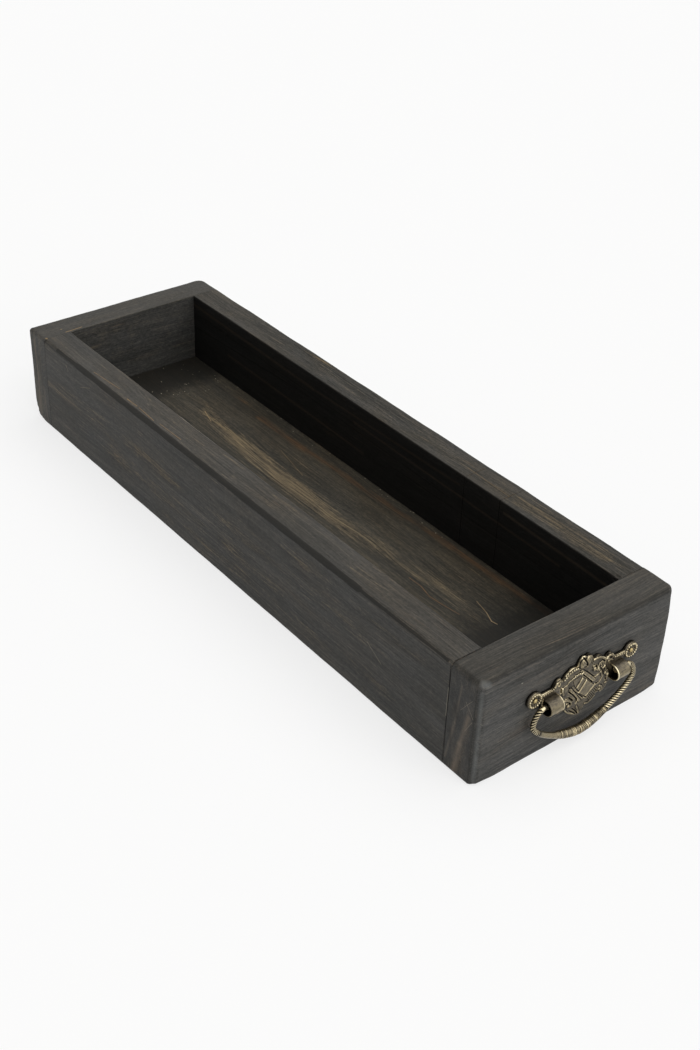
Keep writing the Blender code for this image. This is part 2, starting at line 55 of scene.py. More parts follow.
def addNode(tree, kind, values=(), output=0, stops=(), **settings):  # a socket among the values is linked
    kind, _, operation = kind.partition(":")
    node = tree.nodes.new(kind if "Node" in kind else "ShaderNode" + kind)
    if operation:
        node.operation = operation
    for key, value in settings.items():
        setattr(node, key, value)
    for i, (place, tone) in enumerate(stops):  # of a colour ramp, which starts with two
        element = node.color_ramp.elements[i] if i < 2 else node.color_ramp.elements.new(1.0)
        element.position, element.color = place, linear(tone)
    for key, value in values.items() if isinstance(values, dict) else enumerate(values):
        if isinstance(value, bpy.types.NodeSocket):
            tree.links.new(value, node.inputs[key])
        else:
            node.inputs[key].default_value = value
    return node if output is None or not node.outputs else node.outputs[output]


def newMaterial(name):
    material = bpy.data.materials.new(name)
    material.use_nodes = True
    material.node_tree.nodes.clear()
    return material, partial(addNode, material.node_tree)


def newObject(name, data):
    thing = bpy.data.objects.new(name, data)
    bpy.context.scene.collection.objects.link(thing)
    return thing


def showPiece(name, mesh, material, body, slotName, replaced):
    piece = newObject(name, mesh)
    mesh.materials.clear()
    mesh.materials.append(material)
    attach(piece, body)
    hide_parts(replaced)


def setLayer(mesh, name, values):  # one value for each point
    mesh.attributes.new(name, "FLOAT", "POINT").data.foreach_set("value", np.asarray(values, np.float32))


def newMesh(name, points, faces, marks):  # points in mm
    mesh = bpy.data.meshes.new(name)
    mesh.from_pydata((np.asarray(points) * mm).tolist(), [], np.asarray(faces).tolist())
    for key, values in marks.items():
        setLayer(mesh, key, values)
    mesh.shade_smooth()
    return mesh


def pointing(azimuth, elevation):  # unit vector of two angles in radians
    level = math.cos(elevation)
    return Vector((level * math.cos(azimuth), level * math.sin(azimuth), math.sin(elevation)))


def ease(share):
    share = np.clip(share, 0, 1)
    return share * share * (3 - 2 * share)


def nearStroke(points, start, end, half, soft):  # 1 within half of the line, 0 past half + soft
    start, end = np.array(start, float), np.array(end, float)
    along = end - start
    place = np.clip((points - start) @ along / max(along @ along, 1e-9), 0, 1)
    gap = np.linalg.norm(points - start - place[:, None] * along, axis=1)
    return ease((half + soft - gap) / soft)


def wobble(points, period, seed, octaves=4):  # smooth wandering values from about -1 to 1
    points = np.asarray(points, float)
    if points.ndim == 1:
        points = points[:, None]
    dice = np.random.default_rng(seed)
    total = np.zeros(len(points))
    finer, fainter = 1.9, 1.7  # of each octave, against the one before
    for level in range(octaves):
        for _ in range(3):
            way = dice.normal(size=points.shape[1])
            way /= np.linalg.norm(way)
            phase = dice.uniform(0, 2 * math.pi)
            total += np.sin(points @ way * 2 * math.pi * finer**level / period + phase) / fainter**level
    return total / sum(fainter / fainter**level for level in range(octaves))


# Camera and studio

cameraLook = {
    "place": (0.56671, -0.43384, 0.49633), "azimuth": 140.764, "elevation": -34.455, "roll": 2.263,
    "lens": 51.70, "sensor": 36, "nearest": 0.01,
}


def setCamera(look):
    azimuth, elevation, roll = (math.radians(look[key]) for key in ("azimuth", "elevation", "roll"))
    ahead = pointing(azimuth, elevation)
    right = ahead.cross(Vector((0, 0, 1))).normalized()
    up = right.cross(ahead)
    turnedRight = math.cos(roll) * right + math.sin(roll) * up
    turnedUp = -math.sin(roll) * right + math.cos(roll) * up
    lens = bpy.data.cameras.new("photoCamera")
    lens.sensor_fit = "AUTO"
    lens.sensor_width = look["sensor"]
    lens.lens = look["lens"]
    lens.clip_start = look["nearest"]
    camera = newObject("photoCamera", lens)
    camera.matrix_world = Matrix.Translation(look["place"]) @ Matrix(
        (turnedRight, turnedUp, -ahead)
    ).transposed().to_4x4()
    bpy.context.scene.camera = camera


studioLook = {
    "lamps": (  # azimuth and elevation of the lamp as seen from the tray, strength, width of the light
        ("overheadLight", 62, 81, 1.68, 85), ("endLight", 8, 26, 1.15, 60), ("frontFill", -78, 30, 0.15, 90),
    ),
    "ambient": 0.22, "shadowShare": 0.3,  # how much of its own shading the white floor keeps for the camera
    "backdrop": "#ffffff", "floor": "#fbfbfa", "floorClouds": "#f9f9f8", "floorSize": 12.0, "floorDrop": 0.0002,
}


def seenDirectly(add):  # 1 for what the eye, a mirror or glass shows, 0 for the light on the object
    rays = add("LightPath", output=None).outputs
    seen = add("Math:MAXIMUM", (rays["Is Camera Ray"], rays["Is Glossy Ray"]))
    return add("Math:MAXIMUM", (seen, rays["Is Transmission Ray"]))


def buildStudio(look):
    for name, azimuth, elevation, strength, width in look["lamps"]:
        lamp = bpy.data.lights.new(name, "SUN")
        lamp.energy = strength
        lamp.angle = math.radians(width)
        towards = pointing(math.radians(azimuth), math.radians(elevation))
        newObject(name, lamp).rotation_euler = towards.to_track_quat("Z", "Y").to_euler()
    world = bpy.data.worlds.new("paleStudio")
    world.use_nodes = True
    world.node_tree.nodes.clear()
    add = partial(addNode, world.node_tree)
    level = add("MapRange", (seenDirectly(add), 0.0, 1.0, look["ambient"], 1.0))
    sky = add("Background", {"Color": linear(look["backdrop"]), "Strength": level})
    add("OutputWorld", {"Surface": sky})
    bpy.context.scene.world = world

    half = look["floorSize"] / 2 / mm
    corners = [(-half, -half, 0), (half, -half, 0), (half, half, 0), (-half, half, 0)]
    floorMesh = newMesh("studioFloor", corners, [(0, 1, 2, 3)], {})
    material, add = newMaterial("pale_seamless_paper")  # matt, with the faintest clouds
    paper = add("TexNoise", {"Vector": add("TexCoord", output="Object"), "Scale": 6.0, "Detail": 2.0})
    tones = {0: paper, 6: linear(look["floor"]), 7: linear(look["floorClouds"])}
    tone = add("Mix", tones, 2, data_type="RGBA")
    shader = add("BsdfPrincipled", {"Base Color": tone, "Roughness": 0.9, "Specular IOR Level": 0.0})
    share = add("Math:MULTIPLY", (seenDirectly(add), 1 - look["shadowShare"]))
    white = add("Emission", {"Color": linear(look["backdrop"]), "Strength": 1.0})
    add("OutputMaterial", {"Surface": add("MixShader", (share, shader, white))})
    floorMesh.materials.append(material)
    floor = newObject("studioFloor", floorMesh)
    floor.location.z = -look["floorDrop"]
    bpy.context.scene.view_settings.view_transform = "Standard"


setCamera(cameraLook)
buildStudio(studioLook)
print("camera and studio ready")


# Boards: sawn pine, sanded by hand, so every rounded edge wanders a little

tray = {
    "length": 420.0, "width": 127.0, "height": 62.0, "endThickness": 20.5, "sideThickness": 18.5,
    "gap": 0.06, "nearSeam": 104.0, "farSeam": 76.0, "seamHalf": 0.1, "step": 1.8,
}
innerX = tray["length"] / 2 - tray["endThickness"]
innerY = tray["width"] / 2 - tray["sideThickness"]
lineShares = np.array([0, 0.05, 0.12, 0.2, 0.3, 0.42, 0.56, 0.72, 0.86, 1.0])  # grid lines on a rounded edge
sharpRadius = 0.05  # of an edge that has no size of its own
edgeUsual = (None, 0.15, 2.0, 1.0)  # radius, waver, shape and share of it left in the middle


def boardLines(low, high, reach, step):
    count = max(round((high - low - 2 * reach) / step), 1)
    middle = np.linspace(low + reach, high - reach, count + 1)[1:-1]
    return np.concatenate([low + reach * lineShares, middle, high - reach * lineShares[::-1]])


def boxSkin(lines):  # points and outward faces of a gridded box
    counts = [len(line) for line in lines]
    index = np.full(counts, -1)
    grid = np.indices(counts)
    skin = np.zeros(counts, bool)
    for axis, count in enumerate(counts):
        skin |= (grid[axis] == 0) | (grid[axis] == count - 1)
    index[skin] = np.arange(skin.sum())
    points = np.stack([lines[axis][grid[axis][skin]] for axis in range(3)], -1)
    faces = []
    for axis, end in product(range(3), (0, -1)):
        sheet = np.take(index, end, axis=axis)
        quads = np.stack([sheet[:-1, :-1], sheet[1:, :-1], sheet[1:, 1:], sheet[:-1, 1:]], -1).reshape(-1, 4)
        faces.append(quads if (end == -1) != (axis == 1) else quads[:, ::-1])
    return points, np.concatenate(faces)


def roundCorners(flat, low, high, look):  # corners in plan first, then the top and bottom edges follow that plan
    middle = (low + high) / 2
    side = np.where(flat > middle, 1, -1)
    inside = np.where(flat > middle, high - flat, flat - low)
    size, bend = {}, {}
    for number, (name, values) in enumerate(look["edges"].items()):
        radius, waver, shape, middleShare = (*values, *edgeUsual[len(values):])
        sides = [("xyz".index(name[i + 1]), int(name[i] + "1")) for i in (0, 2)]
        axis = 3 - sides[0][0] - sides[1][0]
        wander = wobble(flat[:, axis], 60, look["seed"] + number, 5)
        fromEnd = ease(inside[:, axis] / 16.0)
        mine = radius * (1 + waver * wander) * (1 - (1 - middleShare) * fromEnd)
        size[frozenset(sides)] = np.maximum(mine, sharpRadius)
        bend[frozenset(sides)] = shape
    none = np.full(len(flat), sharpRadius)
    gap = np.minimum(inside[:, 0], inside[:, 1])
    out = np.stack([inside[:, 0] <= inside[:, 1], inside[:, 0] > inside[:, 1]], -1).astype(float)
    moved = inside.copy()
    for sx, sy in product((-1, 1), (-1, 1)):
        key = frozenset(((0, sx), (1, sy)))
        radius, shape = size.get(key, none), bend.get(key, 2.0)
        a, b = radius - inside[:, 0], radius - inside[:, 1]
        hit = (side[:, 0] == sx) & (side[:, 1] == sy) & (a > 0) & (b > 0)
        a, b, r = a[hit], b[hit], radius[hit]
        shell = np.maximum(a, b)
        scale = shell / (a**shape + b**shape) ** (1 / shape)
        moved[hit, 0], moved[hit, 1] = r - a * scale, r - b * scale
        gap[hit] = r - shell
        out[hit] = np.stack([a, b], -1) / np.hypot(a, b)[:, None]
    for sz in (-1, 1):
        away, near = out.copy(), gap.copy()
        for axis, s, t in product((0, 1), (-1, 1), (-1, 1)):
            mine = size.get(frozenset(((axis, s), (2, sz))), none)
            theirs = size.get(frozenset(((1 - axis, t), (2, sz))), none)
            corner = size.get(frozenset(((axis, s), (1 - axis, t))), none)
            hit = (side[:, axis] == s) & (side[:, 1 - axis] == t) & (inside[:, axis] < mine)
            hit &= (corner < 1.0) & (mine > theirs)  # at a sharp corner the rounder edge runs right out
            away[hit], near[hit] = np.eye(2)[axis], inside[hit, axis]
        radius, shape = np.zeros(len(flat)), np.zeros(len(flat))
        for axis, s in product((0, 1), (-1, 1)):
            key = frozenset(((axis, s), (2, sz)))
            share = away[:, axis] ** 2 * (side[:, axis] == s)
            radius += share * size.get(key, none)
            shape += share * bend.get(key, 2.0)
        a, b = radius - near, radius - inside[:, 2]
        hit = (side[:, 2] == sz) & (a > 0) & (b > 0)
        a, b, r, p = a[hit], b[hit], radius[hit], shape[hit]
        scale = np.maximum(a, b) / (a**p + b**p) ** (1 / p)
        moved[hit, :2] += away[hit] * (r - a * scale - near[hit])[:, None]
        moved[hit, 2] = r - b * scale
    return np.where(flat > middle, high - moved, low + moved)


def drawn(groups):  # lines on a plane: its axis and level, then each line without that coordinate
    for axis, level, *rows in groups:
        axis, levels = "xyz".index(axis), np.broadcast_to(level, 2)  # one level, or one for each end
        for a, b, c, d, *rest in rows:
            start, end = [a, b], [c, d]
            start.insert(axis, levels[0])
            end.insert(axis, levels[1])
            yield start, end, *rest


def buildBoard(name, low, high, look):
    low, high = np.array(low, float), np.array(high, float)
    grain, seed = look["grainAxis"], look["seed"]
    steps = [tray["step"] if axis == grain else tray["step"] * 0.75 for axis in range(3)]
    flat, faces = boxSkin([boardLines(low[i], high[i], look["reach"], steps[i]) for i in range(3)])
    edgeGap = np.sort(np.concatenate([flat - low, high - flat], axis=1), axis=1)[:, 1]
    points = roundCorners(flat, low, high, look)
    for centre, half, soft, push in look["chips"]:
        share = nearStroke(flat, centre, centre, half, soft) * (0.75 + 0.25 * wobble(flat, 2.5, seed + 50))
        points += share[:, None] * np.array(push)
    middle = (low + high) / 2
    onFace = np.abs(np.abs(flat - middle) - (high - low) / 2) < 1e-6
    outward = np.sign(flat - middle) * onFace
    outward[:, list(look["tight"])] = 0
    points += outward * (0.05 * wobble(flat, 45, seed + 70))[:, None]
    points[:, 2] = np.maximum(points[:, 2], low[2])
    marks = {key: np.zeros(len(flat)) for key in markKinds}
    for (axis, side), kind, amount in look["faces"]:  # a whole face of the board
        level = high[axis] if side > 0 else low[axis]
        marks[kind] = np.maximum(marks[kind], amount * ease(1 - np.abs(flat[:, axis] - level) / 1.5))
    for start, end, kind, half, soft, amount in drawn(look["marks"]):
        if kind == "pool":
            half = half * (1 + 0.16 * wobble(flat[:, grain], 34, seed + 31))
        marks[kind] = np.maximum(marks[kind], amount * nearStroke(flat, start, end, half, soft))
    onEdge = ease(1 - edgeGap / 1.6) * (0.5 + 0.7 * wobble(flat, 30, seed + 9))
    marks["wear"] = np.clip(marks["wear"] + look["edgeWear"] * onEdge, 0, 1)
    across = 1 - grain  # fades out on the rounded corner
    fromSide = np.minimum(flat[:, across] - low[across], high[across] - flat[:, across])
    marks["endGrain"] = onFace[:, grain] * ease((fromSide - 1.0) / 3.0)
    return newMesh(name, points, faces, marks)


def stainedPine(name, look):  # matt charcoal stain over pine: fine brushed fibres, brown where it is rubbed thin
    material, add = newMaterial(name)

    def weigh(total, *parts):  # total plus each value times its weight
        for source, weight in parts:
            total = add("Math:MULTIPLY_ADD", (source, weight, total))
        return total

    inMm = add("VectorMath:SCALE", {0: add("TexCoord", output="Object"), "Scale": 1 / mm})
    turned = add("Mapping", {"Vector": inMm, "Rotation": (0, 0, look["turn"]), "Location": look["shift"]})
    drift = add("Mapping", {"Vector": turned, "Scale": (1 / 110, 1 / 28, 1 / 28)})
    drift = add("TexNoise", {"Vector": drift, "Scale": 1.0, "Detail": 2.0}, "Color")
    drift = add("VectorMath:MULTIPLY_ADD", (drift, (0, 9.0, 9.0), (0, -4.5, -4.5)))
    grainPlace = add("VectorMath:ADD", (turned, drift))
    layers = {}
    for key, (length, width, detail, rough) in pineGrain.items():
        stretch = add("Mapping", {"Vector": grainPlace, "Scale": (1 / length, 1 / width, 1 / width)})
        layers[key] = add("TexNoise", {"Vector": stretch, "Scale": 1.0, "Detail": detail, "Roughness": rough})
    fromPith = add("VectorMath:MULTIPLY_ADD", (grainPlace, (0, 1, 1), (0, *look["pith"])))
    fromPith = add("VectorMath:LENGTH", (fromPith,), "Value")
    rings = add("Math:MULTIPLY_ADD", (fromPith, 1 / look["ringGap"], layers["broad"]))
    layers["rings"] = add("ValToRGB", (add("Math:FRACT", (rings,)),), stops=ringTones)
    mark = {key: add("Attribute", output="Fac", attribute_name=key) for key in (*markKinds, "endGrain")}
    grain, fibre, line, speckle, cloud, broken = (
        layers[key] for key in ("grain", "fibre", "line", "speckle", "cloud", "broken"))

    weights = look["weights"]
    tone = weigh(0.5 - 0.5 * sum(weights.values()), *((layers[key], weight) for key, weight in weights.items()))
    warm = weigh(-0.8, (mark["warm"], 0.8), (cloud, 1.9))
    rubbed = weigh(-2.8, (mark["wear"], 1.0), (grain, 1.3), (fibre, 1.5), (line, 1.0), (speckle, 0.9), (cloud, 0.9))
    across = {"Vector": inMm, "Location": look["endShift"], "Rotation": (0, look["endLean"], 0),
              "Scale": (1 / 2.4, 1 / 90, 1 / 32)}
    across = {"Vector": add("Mapping", across), "Scale": 1.0, "Detail": 4.0, "Roughness": 0.6, "Distortion": 0.5}
    across = add("Math:MULTIPLY", (add("TexNoise", across), mark["endGrain"]))
    mottled = add("TexNoise", {"Vector": turned, "Scale": 0.13, "Detail": 6.0, "Roughness": 0.66})
    mottled = add("Math:MULTIPLY", (mottled, mark["mottle"]))
    brown = weigh(-1.4, (across, 2.3), (mark["endGrain"], -0.75), (layers["rings"], 0.2), (line, 0.9), (cloud, 0.9),
                  (speckle, 0.5), (mottled, 1.7), (mark["mottle"], -0.66))
    rusty = weigh(-2.0, (mark["rust"], 1.0), (grain, 1.4), (line, 1.1), (cloud, 1.4))
    # The pool marks darken the stain towards the pooled tone. They are real stain pooled in rough edge bands and on a
    # darker end-grain face. They are painted shade on the back boards' inner faces, and on the floor near its ends,
    # along its front side and in the crease along the back side.
    pooled = weigh(-0.6, (mark["pool"], 1.25), (grain, 0.4), (broken, 0.6))
    shares = {}
    for key, total, start, full, most in (
        ("rubbed", rubbed, look["rubStart"], look["rubFull"], look["rubMost"]), ("brown", brown, 0.0, 0.45, 0.6),
        ("rust", rusty, 0.2, 1.0, 0.75), ("pooled", pooled, 0.1, 0.65, 0.85),
    ):
        shares[key] = add("MapRange", (total, start, full, 0.0, most), interpolation_type="SMOOTHSTEP")
    bare = add("ValToRGB", (grain,), stops=look["bare"])
    coats = [  # share, tone and blend
        (warm, look["warmTint"], "MULTIPLY"), (mark["pale"], look["paleTint"], "MULTIPLY"),
        (shares["rubbed"], bare, "MIX"),
    ]
    coats += [(shares[key], linear(look[key]), "MIX") for key in ("brown", "rust", "pooled")]
    for start, end, width, hexTone, strength in drawn(look["scratches"]):
        start, end = Vector(start), Vector(end)
        way, length = (end - start).normalized(), (end - start).length
        offset = add("VectorMath:SUBTRACT", (inMm, start))
        along = add("VectorMath:DOT_PRODUCT", (offset, way), "Value")
        along = add("MapRange", (along, 0.0, length, 0.0, length))
        gap = add("VectorMath:DISTANCE", (offset, add("VectorMath:SCALE", {0: way, "Scale": along})), "Value")
        shown = add("Math:MULTIPLY", (add("MapRange", (gap, 0.0, width, strength, 0.0)), broken))
        coats.append((shown, linear(hexTone), "MIX"))
    specks = add("TexVoronoi", {"Vector": inMm, "Scale": 0.36}, None).outputs
    size = add("Math:MULTIPLY", (specks["Color"], 0.14))
    bright = add("Math:LESS_THAN", (specks["Distance"], size))
    coats.append((add("Math:MULTIPLY", (bright, mark["dust"])), linear(look["dust"]), "MIX"))
    colour = add("ValToRGB", (tone,), stops=look["stain"])
    for share, over, blend in coats:
        colour = add("Mix", {0: share, 6: colour, 7: over}, 2, data_type="RGBA", blend_type=blend)

    rough = weigh(look["roughness"] - 0.125, (fibre, 0.25), (shares["rubbed"], 0.1))
    relief = weigh(0.0, (fibre, 0.6), (grain, 0.9), (layers["rings"], -0.25))
    bump = add("Bump", {"Height": relief, "Strength": look["bump"], "Distance": 0.00016})
    shader = {"Base Color": colour, "Roughness": rough, "Normal": bump, "Specular IOR Level": look["sheen"]}
    add("OutputMaterial", {"Surface": add("BsdfPrincipled", shader)})
    return material


markKinds = ("wear", "pool", "dust", "warm", "pale", "mottle", "rust")
ringTones = [(0.0, "#ffffff"), (0.12, "#606060"), (0.62, "#2a2a2a"), (0.9, "#a0a0a0"), (1.0, "#ffffff")]
pineGrain = {  # length and width of the marks in mm, detail, roughness
    "broad": (110, 9, 4.0, 0.55), "cloud": (46, 13, 3.0, 0.55), "grain": (60, 1.1, 6.0, 0.62),
    "fibre": (22, 0.55, 4.0, 0.75), "speckle": (2.2, 1.1, 4.0, 0.8), "line": (30, 0.6, 3.0, 0.6),
    "broken": (7, 4, 4.0, 0.8),
}
pineLook = {  # what a board has unless its own entry says otherwise
    "turn": 0.0, "reach": 4.0, "tight": (), "chips": (), "marks": (), "scratches": (), "edgeWear": 0.2,
    "weights": {"broad": 0.8, "grain": 0.75, "fibre": 1.7, "speckle": 1.1, "rings": 0.08},
    "stain": [(0.0, "#20201f"), (0.42, "#393937"), (0.62, "#454442"), (1.0, "#5c5953")],
    "bare": [(0.3, "#5f5343"), (0.7, "#907f62")], "brown": "#63523e", "rust": "#614730", "pooled": "#1b1a17",
    "dust": "#aaa28f", "warmTint": (0.98, 0.89, 0.755, 1.0), "paleTint": (1.3, 1.3, 1.32, 1.0),
    "endShift": (3.0, 0, 0), "endLean": 0.25, "pith": (-55.0, 38.0), "ringGap": 4.2,
    "rubStart": 0.3, "rubFull": 1.25, "rubMost": 0.75, "roughness": 0.6, "sheen": 0.18, "bump": 0.5,
}
